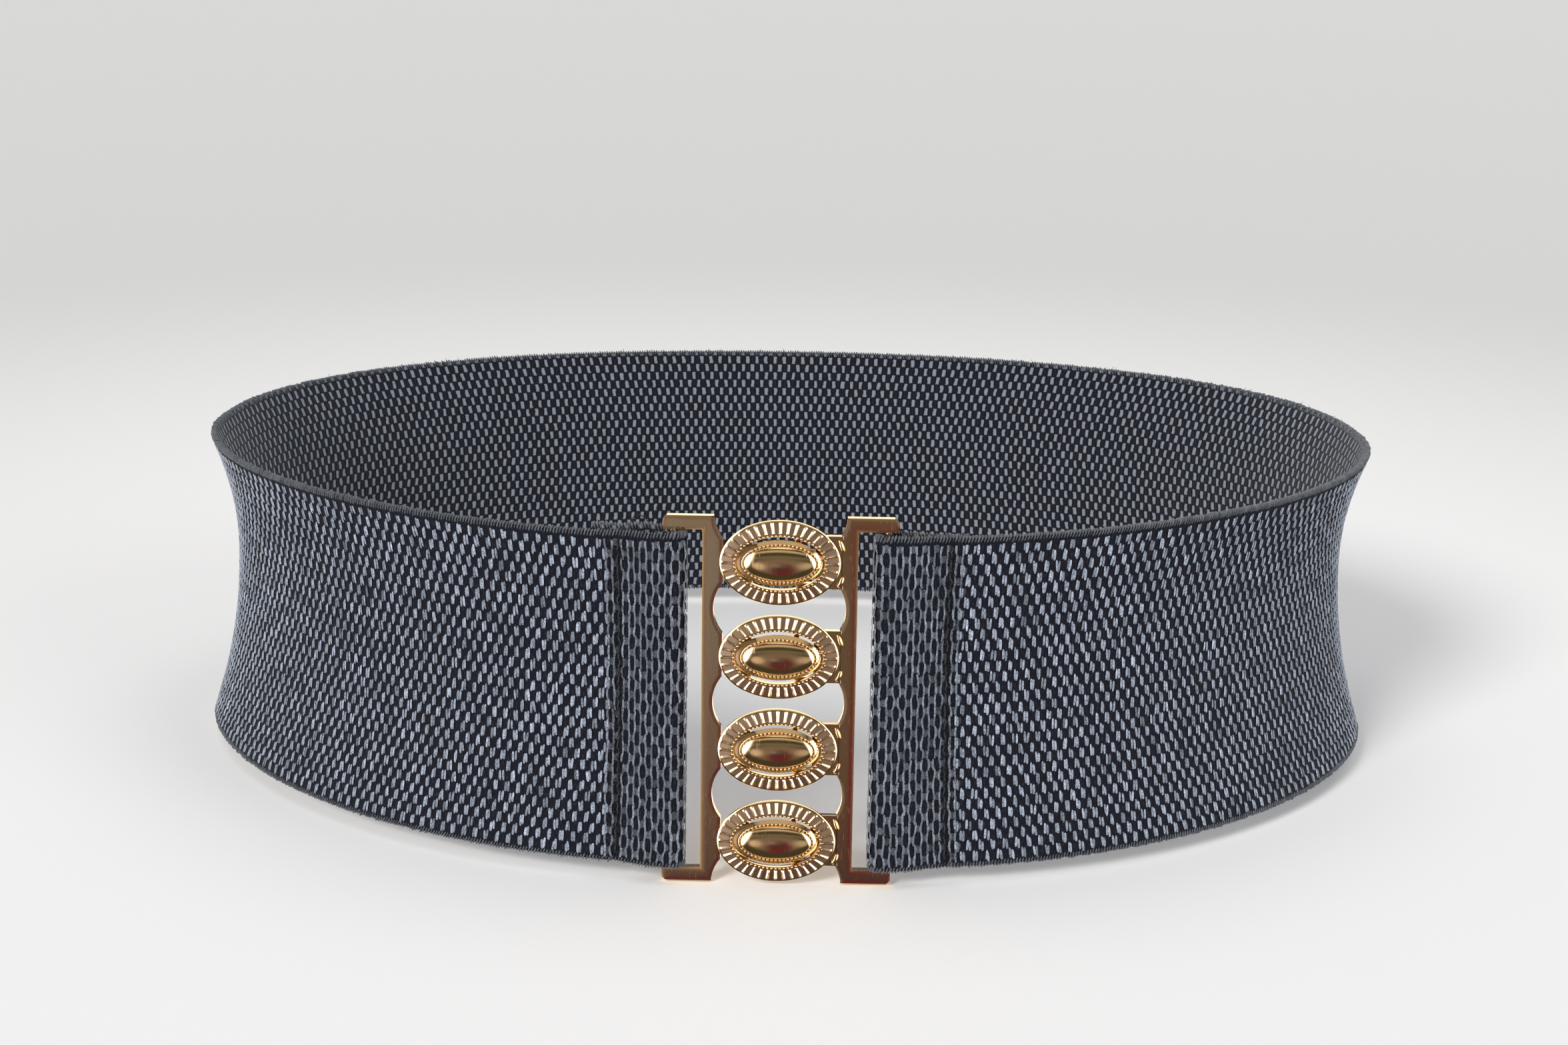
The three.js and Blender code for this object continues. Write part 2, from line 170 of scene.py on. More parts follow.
# Each patch of the room: its middle and half size in degrees to the right of the camera and up,
# how soft its border is, and its colour.
ROOM_PATCHES = [
    {"at": (180, 0), "half": (100, 84), "soft": 0.2, "colour": (1.6, 1.4, 1.15)},
    {"at": (0, 90), "half": (400, 14), "soft": 0.4, "colour": (1.30, 1.15, 0.95)},
    {"at": (0, 50), "half": (70, 9), "soft": 0.6, "colour": (0.55, 0.46, 0.34)},
    {"at": (0, 17), "half": (60, 6), "soft": 0.8, "colour": (0.17, 0.15, 0.10)},
    {"at": (-1, -13), "half": (31, 25), "soft": 0.35, "colour": (0.200, 0.155, 0.125)},
    {"at": (-21, -14), "half": (8, 12), "soft": 0.45, "colour": (0.66, 0.53, 0.42)},
    {"at": (29, -12), "half": (15, 13), "soft": 0.5, "colour": (0.48, 0.40, 0.31)},
    {"at": (1.5, -26), "half": (10.5, 21), "soft": 0.35, "colour": (0.125, 0.026, 0.036)},
    {"at": (-7.5, -12), "half": (1.6, 9), "soft": 0.5, "colour": (0.230, 0.160, 0.130)},
    {"at": (0.9, -11.5), "half": (2.2, 5.2), "soft": 0.4, "colour": (0.118, 0.093, 0.071)},
    {"at": (-3.8, -9.5), "half": (2.2, 4.2), "soft": 0.3, "colour": (0.225, 0.235, 0.255)},
    {"at": (-3.8, -15.0), "half": (2.2, 1.5), "soft": 0.5, "colour": (0.175, 0.145, 0.135)},
    {"at": (-1.0, -18.6), "half": (6.5, 2.2), "soft": 0.4, "colour": (0.044, 0.044, 0.052)},
    {"at": (-80, 8), "half": (44, 42), "soft": 0.14, "colour": (3.8, 3.6, 3.3)},
    {"at": (86, 8), "half": (40, 42), "soft": 0.14, "colour": (3.8, 3.6, 3.3)},
]
DEGREES = 180 / math.pi
world = bpy.data.worlds.new("room")
bpy.context.scene.world = world
world.use_nodes = True
room = world.node_tree
room.nodes.clear()
direction = add_node(room, "ShaderNodeTexCoord").outputs["Generated"]
towards = add_node(room, "ShaderNodeSeparateXYZ", i0=direction).outputs
to_front = sums(room, "MULTIPLY", towards["Y"], -1.0)
turn = sums(room, "MULTIPLY", sums(room, "ARCTAN2", towards["X"], to_front), DEGREES)
rise = sums(room, "MULTIPLY", sums(room, "ARCSINE", towards["Z"]), DEGREES)
seen_by_metal = (*ROOM_DARK, 1)
for patch in ROOM_PATCHES:
    aside = sums(room, "ABSOLUTE", sums(room, "SUBTRACT", turn, patch["at"][0]))
    around = sums(room, "MINIMUM", aside, sums(room, "SUBTRACT", 360.0, aside))
    wide = sums(room, "DIVIDE", around, patch["half"][0])
    high = sums(room, "DIVIDE", sums(room, "SUBTRACT", rise, patch["at"][1]), patch["half"][1])
    squares = sums(room, "MULTIPLY_ADD", wide, wide, sums(room, "MULTIPLY", high, high))
    from_middle = sums(room, "SQRT", squares)
    inside_patch = ramp(room, from_middle, 1 - patch["soft"], 1 + patch["soft"], 1.0, 0.0, "SMOOTHSTEP")
    seen_by_metal = mixed(room, inside_patch, seen_by_metal, (*patch["colour"], 1))
ray = add_node(room, "ShaderNodeLightPath").outputs
room_light = mixed(room, ray["Is Glossy Ray"], WORLD_DIM, seen_by_metal)
room_light = mixed(room, ray["Is Camera Ray"], room_light, WORLD_PALE)
background = add_node(room, "ShaderNodeBackground", Color=room_light, Strength=1.0)
add_node(room, "ShaderNodeOutputWorld", Surface=background.outputs[0])
bpy.context.scene.view_settings.view_transform = "Standard"
bpy.context.scene.view_settings.look = "None"

# The webbing: one strip of thick woven elastic. Both ends go round the clasp's hidden bars, fold
# back inside and are sewn down. Its ground is near-black elastic yarn, and the pale floats that
# stand out of it are made in the next section. Lengths from here on are in millimetres.
WEB_WIDTH = 75.0
WEB_THICKNESS = 1.7
GROUND_THICKNESS = 1.2
INNER_HALF_WIDTH = 138.0
INNER_HALF_DEPTH = 96.0
FRONT_ROUNDNESS = 1.8
BACK_ROUNDNESS = 2.2
SLANT = math.radians(4)
TOP_FLARE = 6.0
BOTTOM_FLARE = 9.0
NARROWEST_LEVEL = 0.14
FOLDED_LENGTH = 17.0
EYE_LENGTH = 9.0
EYE_RADIUS = 1.45
BAR_X = 23.15
SEAM_RIGHT = 13.0
SEAM_LEFT = 11.4
SEAM_DEPTH = 0.55
SEAM_WIDTH = 0.95
HEM_RAISED_RIGHT = 0.0
HEM_RAISED_LEFT = 1.1
HEM_RISES = (1.0, 5.0)
SLACK_WIDENING = 0.013
SLACK_LENGTH = 16.0
CURVE_STEPS = 4000
# An eye is the webbing's loop round a bar. The left hem was folded a little high, and rises over the
# part of its length in HEM_RISES. Near the bars the cloth is slack, and so a little wider.
FOLD_RADIUS = EYE_RADIUS + WEB_THICKNESS / 2
FOLD_TURN = math.pi * FOLD_RADIUS


def waist_curve(angle, level):
    """Points of the inner face's plan curve on the right side, and its outward directions."""
    front = angle < math.pi / 2
    power = np.where(front, 2 / FRONT_ROUNDNESS, 2 / BACK_ROUNDNESS)
    sin = np.sin(angle)
    cos = np.abs(np.cos(angle))
    over = np.clip(level - NARROWEST_LEVEL, 0, None) / (0.5 - NARROWEST_LEVEL)
    under = np.clip(NARROWEST_LEVEL - level, 0, None) / (0.5 + NARROWEST_LEVEL)
    half_width = INNER_HALF_WIDTH + TOP_FLARE * over**2 + BOTTOM_FLARE * under**2
    half_depth = INNER_HALF_DEPTH - WEB_WIDTH * level * math.sin(SLANT)
    straight = np.where(front, BAR_X, 0.0)
    forward = np.where(front, -1.0, 1.0)
    x = straight + (half_width - straight) * sin**power
    y = half_depth * cos**power * forward
    along_x = -(half_width - straight) * cos ** (2 - power) * forward
    along_y = half_depth * sin ** (2 - power)
    length = np.hypot(along_x, along_y)
    return x, y, along_y / length, -along_x / length


curve_angles = np.linspace(0, math.pi, CURVE_STEPS + 1)
curve_x, curve_y, _, _ = waist_curve(curve_angles, np.zeros_like(curve_angles))
curve_lengths = np.concatenate([[0], np.cumsum(np.hypot(np.diff(curve_x), np.diff(curve_y)))])
BAND = 2 * curve_lengths[-1]
STRIP_LENGTH = BAND + 2 * (FOLD_TURN + FOLDED_LENGTH)


def ribbon(along, across, height):
    """Where a point of the flat strip lies on the worn belt, in metres.

    along runs from the right bar round the back to the left bar, and past each bar into the fold
    and the hem. across is from the strip's middle, and height from its middle surface.
    """
    right_side = along < BAND / 2
    run = np.where(right_side, along, BAND - along)
    on_curve = np.maximum(run, 0)
    turn = np.clip(-run / FOLD_RADIUS, 0, math.pi)
    in_hem = np.maximum(-run - FOLD_TURN, 0)
    distance = on_curve + in_hem
    hem = turn >= math.pi
    turning = (turn > 0) & ~hem
    level = across / WEB_WIDTH
    x, y, out_x, out_y = waist_curve(np.interp(distance, curve_lengths, curve_angles), level)
    share = np.clip(1 - distance / EYE_LENGTH, 0, None)
    seam = np.where(right_side, SEAM_RIGHT, SEAM_LEFT)
    dip = SEAM_DEPTH * np.exp(-(((distance - seam) / SEAM_WIDTH) ** 2))
    offset = WEB_THICKNESS / 2 + EYE_RADIUS * share * (2 - share) - dip + height
    offset = np.where(hem, -offset, offset)
    around = FOLD_RADIUS + height
    x = np.where(turning, BAR_X - around * np.sin(turn), x + out_x * offset)
    y = np.where(turning, y - around * np.cos(turn), y + out_y * offset)
    hem_share = np.clip((in_hem - HEM_RISES[0]) / (HEM_RISES[1] - HEM_RISES[0]), 0, 1)
    raised = np.where(right_side, HEM_RAISED_RIGHT, HEM_RAISED_LEFT) * hem_share
    slack = SLACK_WIDENING * np.clip(1 - distance / SLACK_LENGTH, 0, 1)
    z = across * (1 + slack) * math.cos(SLANT) + raised
    return np.stack([np.where(right_side, x, -x), y, z], axis=-1) / 1000


def move_vertices(piece, places):
    piece.data.vertices.foreach_set("co", np.asarray(places, np.float32).ravel())
    piece.data.update()


def read_values(items, key, width):
    values = np.empty(len(items) * width, np.float32)
    items.foreach_get(key, values)
    return values.reshape(-1, width)


def vertex_places(piece):
    return read_values(piece.data.vertices, "co", 3).astype(float)


def apply_modifier(piece, kind, **settings):
    bpy.context.view_layer.objects.active = piece
    modifier = piece.modifiers.new(kind.lower(), kind)
    for key, value in settings.items():
        setattr(modifier, key, value)
    bpy.ops.object.modifier_apply(modifier=modifier.name)


def settle():
    """Makes the active object's place, turn and scale part of its mesh."""
    bpy.ops.object.transform_apply(location=True, rotation=True, scale=True)


ALONG_STEPS = 420
ACROSS_STEPS = 30
GROUND_WIDTH = WEB_WIDTH - 1.0
GROUND_SMOOTH_BELOW = 50
deselect()
bpy.ops.mesh.primitive_grid_add(x_subdivisions=ALONG_STEPS, y_subdivisions=ACROSS_STEPS, size=1)
strip = bpy.context.object
strip.name = "webbing_strip"
flat = vertex_places(strip)
strip_along = (flat[:, 0] + 0.5) * STRIP_LENGTH - FOLD_TURN - FOLDED_LENGTH
strip_across = flat[:, 1] * GROUND_WIDTH
move_vertices(strip, ribbon(strip_along, strip_across, np.zeros_like(strip_along)))
# The strip's map holds each place on the flat strip in millimetres, for its paint to follow.
on_map = read_values(strip.data.uv_layers.active.data, "uv", 2)
on_map[:, 0] = on_map[:, 0] * STRIP_LENGTH - FOLD_TURN - FOLDED_LENGTH
on_map[:, 1] = (on_map[:, 1] - 0.5) * GROUND_WIDTH
strip.data.uv_layers.active.data.foreach_set("uv", on_map.ravel())
apply_modifier(strip, "SOLIDIFY", thickness=GROUND_THICKNESS / 1000, offset=0)
bpy.ops.object.shade_smooth_by_angle(angle=math.radians(GROUND_SMOOTH_BELOW))

# The weave's grid: rows run along the belt, each half a pitch from the next. The shares of a cell
# that a float and a sliver of ground yarn take are for the strip's inner face, where both are painted.
PITCH = 2.6
ROW = 2.4
ROWS = 30
FLOAT_ENDS = (0.38, 0.5)
FLOAT_SIDES = (0.12, 0.22)
SLIVER_SIDES = (0.40, 0.5)
FLOAT_WANDER = 0.3
SLIVER_RELIEF = 0.3


def noise(tree, place, scale, detail=2.0, roughness=0.5):
    node = add_node(tree, "ShaderNodeTexNoise", Vector=place, Scale=scale, Detail=detail, Roughness=roughness)
    return node.outputs["Fac"]


def weave_group():
    """Masks of the weave from a place on the flat strip: its floats, its slivers and its relief."""
    group = bpy.data.node_groups.new("weave", "ShaderNodeTree")
    face = group.interface
    face.new_socket("Place", in_out="INPUT", socket_type="NodeSocketVector")
    face.new_socket("Pitch", in_out="INPUT", socket_type="NodeSocketFloat")
    face.new_socket("Row", in_out="INPUT", socket_type="NodeSocketFloat")
    for name in ("Float", "Sliver", "Relief"):
        face.new_socket(name, in_out="OUTPUT", socket_type="NodeSocketFloat")
    inside = add_node(group, "NodeGroupInput").outputs
    parts = add_node(group, "ShaderNodeSeparateXYZ", i0=inside["Place"]).outputs
    jitter = noise(group, inside["Place"], scale=0.5, detail=1.0)
    nudge = sums(group, "MULTIPLY_ADD", jitter, FLOAT_WANDER, -FLOAT_WANDER / 2)
    down = sums(group, "ADD", sums(group, "DIVIDE", parts["Y"], inside["Row"]), 0.5 * (ROWS % 2))
    odd = sums(group, "FLOORED_MODULO", sums(group, "FLOOR", down), 2.0)
    along = sums(group, "DIVIDE", parts["X"], inside["Pitch"])
    across = sums(group, "ADD", sums(group, "MULTIPLY_ADD", odd, 0.5, along), nudge)
    in_row = sums(group, "ABSOLUTE", sums(group, "SUBTRACT", sums(group, "FRACT", down), 0.5))
    cell = sums(group, "FRACT", across)
    from_float = sums(group, "ABSOLUTE", sums(group, "SUBTRACT", cell, 0.5))
    end = ramp(group, in_row, *FLOAT_ENDS, 1.0, 0.0, "SMOOTHSTEP")
    bar = ramp(group, from_float, *FLOAT_SIDES, 1.0, 0.0, "SMOOTHSTEP")
    sliver = ramp(group, from_float, *SLIVER_SIDES, 0.0, 1.0, "SMOOTHSTEP")
    out = add_node(group, "NodeGroupOutput")
    yarn = sums(group, "MULTIPLY", bar, end)
    group.links.new(yarn, out.inputs["Float"])
    group.links.new(sums(group, "MULTIPLY", sliver, end), out.inputs["Sliver"])
    group.links.new(sums(group, "MULTIPLY_ADD", sliver, SLIVER_RELIEF, yarn), out.inputs["Relief"])
    return group


weave = weave_group()


def add_relief(tree, shader, height, strength, distance):
    bump = add_node(tree, "ShaderNodeBump", Strength=strength, Distance=distance, Height=height)
    tree.links.new(bump.outputs[0], shader.inputs["Normal"])


PIT_COLOUR = (0.0095, 0.0098, 0.0150, 1)
SLIVER_COLOUR = (0.026, 0.031, 0.048, 1)
PALE_YARN = (0.450, 0.505, 0.600, 1)
SHADED_YARN = (0.135, 0.155, 0.200, 1)

ground_cloth, tree, shader = new_material("elastic_ground", 0.9)
shader.inputs["Specular IOR Level"].default_value = 0.16
on_strip = add_node(tree, "ShaderNodeUVMap").outputs["UV"]
drawn_out = add_node(tree, "ShaderNodeMapping", Vector=on_strip, Scale=(3.4, 0.7, 1.0)).outputs[0]
streaks = noise(tree, drawn_out, scale=1.0, detail=3.0, roughness=0.6)
sliver = ramp(tree, streaks, 0.52, 0.68)
tree.links.new(mixed(tree, sliver, PIT_COLOUR, SLIVER_COLOUR), shader.inputs["Base Color"])
add_relief(tree, shader, streaks, strength=0.7, distance=0.0003)

inside_cloth, tree, shader = new_material("elastic_inside", 0.92)
shader.inputs["Specular IOR Level"].default_value = 0.2
shader.inputs["Sheen Weight"].default_value = 0.15
on_strip = add_node(tree, "ShaderNodeUVMap").outputs["UV"]
masks = add_node(tree, "ShaderNodeGroup", {"node_tree": weave}, Place=on_strip, Pitch=PITCH, Row=ROW).outputs
fluff = noise(tree, on_strip, scale=3.2, detail=3.0, roughness=0.7)
dark = mixed(tree, sums(tree, "MULTIPLY", masks["Sliver"], fluff), PIT_COLOUR, SLIVER_COLOUR)
yarn_tone = mixed(tree, fluff, SHADED_YARN, PALE_YARN)
tree.links.new(mixed(tree, masks["Float"], dark, yarn_tone), shader.inputs["Base Color"])
relief = sums(tree, "MULTIPLY_ADD", fluff, 0.35, masks["Relief"])
add_relief(tree, shader, relief, strength=0.8, distance=0.0004)

# The thickened strip's faces come as one side, the other side and the edges. The ground's material
# goes on whichever side faces away from the waist, away from the folds.
WORN_BEYOND = 0.06
strip.data.materials.append(ground_cloth)
strip.data.materials.append(inside_cloth)
normals = read_values(strip.data.polygons, "normal", 3)
middles = read_values(strip.data.polygons, "center", 3)
material_of = np.zeros(len(strip.data.polygons), np.int32)
material_of[ALONG_STEPS * ACROSS_STEPS : 2 * ALONG_STEPS * ACROSS_STEPS] = 1
outward = (normals * middles)[:, :2].sum(axis=1)
worn = np.abs(middles[:, 0]) > WORN_BEYOND
if outward[(material_of == 1) & worn].mean() > 0:
    material_of = 1 - material_of
strip.data.polygons.foreach_set("material_index", material_of)
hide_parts("elastic_webbing")
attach(strip, "root")

# The floats: short lengths of pale, fluffy two-ply yarn that lie over the dark ground in rows, like
# bricks. Near the folds the cloth is drawn together along the belt, so there they close up into
# wavy lines with small dark pits between them.
FLOAT_BASE = GROUND_THICKNESS / 2
# Half sizes of a ply, of a drawn line and of the low lump beside it: along the strip, across it and
# in height.
PLY_HALF = (0.31, 1.20, 0.40)
LINE_HALF = (0.27, 1.38, 0.42)
FILL_HALF = (0.50, 0.86, 0.24)
PLY_APART = (0.26, 0.14)
LINE_WAVE = 0.14
BLUNTNESS = 3.2
DRAWN_PITCH = 2.6
DRAWN_TONES = (0.62, 0.62, 0.22)
SEAM_GAP = 0.35
HEM_END_GAP = 0.3
OPEN_OVERLAP = 0.5
SELVAGE_COVERS = 0.2
PANELS = 6
LUMP_SUNK = 0.3
# How much the lumps differ from each other: in size, lean, place and shade.
SIZE_SPREAD = 0.06
LEAN_SPREAD = 0.06
PLACE_SPREAD = 0.08
SHADE_SPREAD = 0.24
SHADE_LIMITS = (0.45, 1.6)


def cut_away(**plane):
    """Cuts the active object at a plane and clears one side of it."""
    bpy.ops.object.mode_set(mode="EDIT")
    bpy.ops.mesh.select_all(action="SELECT")
    bpy.ops.mesh.bisect(**plane)
    bpy.ops.object.mode_set(mode="OBJECT")


def repeat(piece, count, step):
    apply_modifier(
        piece, "ARRAY", count=count, use_relative_offset=False, use_constant_offset=True,
        constant_offset_displace=step
    )


def yarn_lump(half_sizes, place_flat, sides, rings):
    """A half ellipsoid of yarn on the flat strip, in millimetres, with its long way across the strip."""
    deselect()
    bpy.ops.mesh.primitive_uv_sphere_add(
        segments=sides, ring_count=rings, radius=1, location=place_flat, rotation=(math.pi / 2, 0, 0)
    )
    lump = bpy.context.object
    lump.scale = (half_sizes[0], half_sizes[2], half_sizes[1])
    bpy.ops.object.transform_apply(location=False, rotation=True, scale=True)
    places = vertex_places(lump)
    share = np.abs(places[:, 1] / half_sizes[1]).clip(0, 1)
    thin = np.sqrt(np.maximum(1 - share**2, 1e-9))
    blunt = (1 - share**BLUNTNESS) ** (1 / BLUNTNESS)
    places[:, [0, 2]] *= np.where(share < 0.999, blunt / thin, 1)[:, None]
    move_vertices(lump, places)
    settle()
    low = (0, 0, place_flat[2] - LUMP_SUNK * half_sizes[2])
    cut_away(plane_co=low, plane_no=(0, 0, 1), clear_inner=True)
    return lump


def join(pieces, name):
    deselect()
    for piece in pieces:
        piece.select_set(True)
    bpy.context.view_layer.objects.active = pieces[0]
    bpy.ops.object.join()
    joined = bpy.context.object
    joined.name = name
    return joined


def yarn_material(name, roughness, colours, fineness, tones, strength, distance):
    """Fluffy yarn: fine fibres between two colours, shaded by each lump's own yarn_shade."""
    material, tree, shader = new_material(name, roughness)
    shader.inputs["Sheen Weight"].default_value = 0.2
    in_space = add_node(tree, "ShaderNodeTexCoord").outputs["Object"]
    shade = add_node(tree, "ShaderNodeAttribute", {"attribute_name": "yarn_shade"}).outputs["Fac"]
    fibres = noise(tree, in_space, fineness, detail=3.0, roughness=0.7)
    colour = mixed(tree, ramp(tree, fibres, *tones), *colours)
    tree.links.new(mixed(tree, 1.0, colour, shade, "MULTIPLY"), shader.inputs["Base Color"])
    add_relief(tree, shader, fibres, strength, distance)
    return material


pale_yarn = yarn_material("pale_yarn", 0.85, (SHADED_YARN, PALE_YARN), 2600.0, (0.38, 0.62), 0.9, 0.00025)

RANDOM_SEED = 7
rng = np.random.default_rng(RANDOM_SEED)


def give_values(piece, name, values):
    """A named value for each of the piece's vertices, which its material reads."""
    attribute = piece.data.attributes.new(name, "FLOAT", "POINT")
    attribute.data.foreach_set("value", np.asarray(values, np.float32).ravel())


def two_rows(pitch, mirrored):
    """The lumps of one pitch of the open weave: two rows of a two-ply float, its plies a little askew."""
    hand = -1 if mirrored else 1
    lumps = []
    for row in range(2):
        x = pitch * (0.5 - 0.5 * row)
        for ply in (-1, 1):
            place_flat = (x + ply * PLY_APART[0], row * ROW - hand * ply * PLY_APART[1], FLOAT_BASE)
            lumps.append(yarn_lump(PLY_HALF, place_flat, 6, 6))
    return lumps, [0] * len(lumps), [1.0] * len(lumps)


def drawn_rows(pitch):
    """The lumps of one pitch of the drawn weave, which way each one waves, and how pale each one is.

    Lines of yarn run across the strip, and where two come together a low lump closes the gap.
    """
    lumps = []
    for row in range(2):
        for share in (0.25, 0.75):
            lumps.append(yarn_lump(LINE_HALF, (share * pitch, row * ROW, FLOAT_BASE), 6, 6))
        lumps.append(yarn_lump(FILL_HALF, ((0.5 + 0.5 * row) * pitch, row * ROW, FLOAT_BASE), 6, 5))
    return lumps, [1, -1, 0] * 2, DRAWN_TONES * 2


def lay_panel(name, lumps, waves, tones, start, columns, pitch):
    """Repeats the lumps over a panel of the flat strip, varies each a little, and lays them on the belt."""
    sizes = [len(lump.data.vertices) for lump in lumps]
    panel = join(lumps, name)
    repeat(panel, columns, (pitch, 0, 0))
    repeat(panel, (ROWS + 1) // 2, (0, 2 * ROW, 0))
    places = vertex_places(panel).reshape(-1, sum(sizes), 3)
    shades = np.ones(places.shape[:2])
    first = 0
    for size, wave, tone in zip(sizes, waves, tones):
        lump = places[:, first : first + size]
        middle = lump.mean(axis=1, keepdims=True)
        count = len(lump)
        lump[:] = middle + (lump - middle) * rng.normal(1, SIZE_SPREAD, (count, 1, 3))
        lump[..., 0] += rng.normal(0, LEAN_SPREAD, (count, 1)) * (lump[..., 1] - middle[..., 1])
        lump[..., :2] += rng.normal(0, PLACE_SPREAD, (count, 1, 2))
        lump[..., 0] += wave * LINE_WAVE * np.cos(math.pi * lump[..., 1] / ROW)
        shades[:, first : first + size] = tone * rng.normal(1, SHADE_SPREAD, (count, 1)).clip(*SHADE_LIMITS)
        first += size
    flat = places.reshape(-1, 3)
    across = flat[:, 1] - (ROWS - 1) / 2 * ROW
    move_vertices(panel, ribbon(flat[:, 0] + start, across, flat[:, 2]))
    give_values(panel, "yarn_shade", shades)
    under_selvage = across > ROWS / 2 * ROW - SELVAGE_COVERS
    panel.data.vertices.foreach_set("select", under_selvage)
    bpy.ops.object.mode_set(mode="EDIT")
    bpy.ops.mesh.select_mode(type="VERT")
    bpy.ops.mesh.delete(type="VERT")
    bpy.ops.object.mode_set(mode="OBJECT")
    bpy.ops.object.shade_smooth()
    panel.data.materials.append(pale_yarn)
    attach(panel, "root")
    return panel


open_from = []
for side, seam in (("right", SEAM_RIGHT), ("left", SEAM_LEFT)):
    hem_columns = int((seam - SEAM_GAP + FOLD_TURN + FOLDED_LENGTH - HEM_END_GAP) / DRAWN_PITCH)
    spans = [(seam - SEAM_GAP - hem_columns * DRAWN_PITCH, hem_columns), (seam + SEAM_GAP, 1)]
    for i, (start, columns) in enumerate(spans):
        if side == "left":
            start = BAND - start - columns * DRAWN_PITCH
        lumps, waves, tones = drawn_rows(DRAWN_PITCH)
        name = f"drawn_weave_{side}_{i + 1}"
        lay_panel(name, lumps, waves, tones, start, columns, DRAWN_PITCH)
    open_from.append(seam + SEAM_GAP + DRAWN_PITCH - OPEN_OVERLAP)
worn_columns = round((BAND - sum(open_from)) / PITCH + 0.5)
worn_pitch = (BAND - sum(open_from)) / (worn_columns - 0.5)
column = 0
for i in range(PANELS):
    columns = worn_columns * (i + 1) // PANELS - worn_columns * i // PANELS
    lumps, waves, tones = two_rows(worn_pitch, i >= PANELS / 2)
    start = open_from[0] + column * worn_pitch
    lay_panel(f"weave_{i + 1}", lumps, waves, tones, start, columns, worn_pitch)
    column += columns

# The selvages: fine grey yarn whipped tightly over the strip's two long edges, leaning one way. Each
# turn of the yarn is a rib, and the ribs run on round the folds and along the hems.
RIB_PITCH = 0.66
RIB_HALF = (0.31, 0.90, 0.92)
RIB_LEAN = 0.32
RIB_OVERHANG = 0.1
RIBS_START = 0.3
RIB_SIZE_SPREAD = 0.06
RIB_PLACE_SPREAD = 0.08
RIB_SHADE_SPREAD = 0.15
RIB_COLOURS = ((0.028, 0.031, 0.037, 1), (0.190, 0.205, 0.230, 1))
rib_count = int(STRIP_LENGTH / RIB_PITCH)
grey_yarn = yarn_material("grey_yarn", 0.9, RIB_COLOURS, 2200.0, (0.0, 1.0), 0.8, 0.0002)

for name, edge in (("selvage_top", 1), ("selvage_bottom", -1)):
    deselect()
    bpy.ops.mesh.primitive_uv_sphere_add(segments=6, ring_count=5, radius=1, rotation=(math.pi / 2, 0, 0))
    ribs = bpy.context.object
    ribs.name = name
    ribs.scale = (RIB_HALF[0], RIB_HALF[2], RIB_HALF[1])
    settle()
    vertices_each = len(ribs.data.vertices)
    repeat(ribs, rib_count, (RIB_PITCH, 0, 0))
    places = vertex_places(ribs).reshape(-1, vertices_each, 3)
    places[..., 0] += RIB_LEAN * places[..., 1]
    places[..., 1:] *= rng.normal(1, RIB_SIZE_SPREAD, (len(places), 1, 2))
    places[..., 1] += rng.normal(0, RIB_PLACE_SPREAD, (len(places), 1))
    flat = places.reshape(-1, 3)
    across = flat[:, 1] + edge * (WEB_WIDTH / 2 - RIB_HALF[1] + RIB_OVERHANG)
    move_vertices(ribs, ribbon(flat[:, 0] - FOLD_TURN - FOLDED_LENGTH + RIBS_START, across, flat[:, 2]))
    give_values(ribs, "yarn_shade", np.repeat(rng.normal(1, RIB_SHADE_SPREAD, len(places)), vertices_each))
    bpy.ops.object.shade_smooth()
    ribs.data.materials.append(grey_yarn)
    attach(ribs, "root")

# The seams that hold the hems: dark sewing thread pulled down into a groove, and the short fibres and
# one loop of loose thread that the needle has teased out of the yarn.
STITCH_LENGTH = 2.7
STITCH_GAP = 0.25
STITCH_RADIUS = 0.20
STITCH_WANDER = 0.16
STITCH_LIFT = (0.55, 0.45)
SEAM_ENDS = (2.2, 3.5)
SEAM_HAIRS = 260
HAIR_POINTS = 5
HAIR_RADIUS = 0.045
HAIR_FROM_SEAM = 1.1
HAIR_LENGTHS = (0.6, 2.0)
HAIR_BEND = 1.2
HAIR_LIFT = 0.75
EDGE_HAIRS = 130
EDGE_HAIR_REACH = 14
EDGE_HAIRS_BEYOND = 4
EDGE_HAIR_LEAN = 0.5
EDGE_HAIR_RISE = (0.25, 0.7)
LOOSE_RADIUS = 0.13
LOOSE_POINTS = 16
LOOSE_FROM_FOLD = 8.5
LOOSE_WIDTH = 3.0
LOOSE_SWAY = 0.5
LOOSE_SUNK = 1.2
LOOSE_TALL = 2.6
LOOSE_LIFT = (0.3, 0.5)
TOP_EDGE = WEB_WIDTH / 2


def select_only(piece):
    deselect()
    piece.select_set(True)
    bpy.context.view_layer.objects.active = piece


def lay_threads(name, lines, radius, sides):
    """Thin round threads through points of the flat strip, all in one mesh."""
    curve = bpy.data.curves.new(name, "CURVE")
    curve.dimensions = "3D"
    curve.bevel_depth = radius / 1000
    curve.bevel_resolution = sides
    curve.use_fill_caps = True
    for line in lines:
        line = np.array(line, float)
        spline = curve.splines.new("POLY")
        spline.points.add(len(line) - 1)
        spots = ribbon(line[:, 0], line[:, 1], line[:, 2])
        for point, spot in zip(spline.points, spots):
            point.co = (*spot, 1)
    thread_object = bpy.data.objects.new(name, curve)
    bpy.context.collection.objects.link(thread_object)
    select_only(thread_object)
    bpy.ops.object.convert(target="MESH")
    bpy.ops.object.shade_smooth()
    made = bpy.context.object
    made.name = name
    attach(made, "root")
    return made


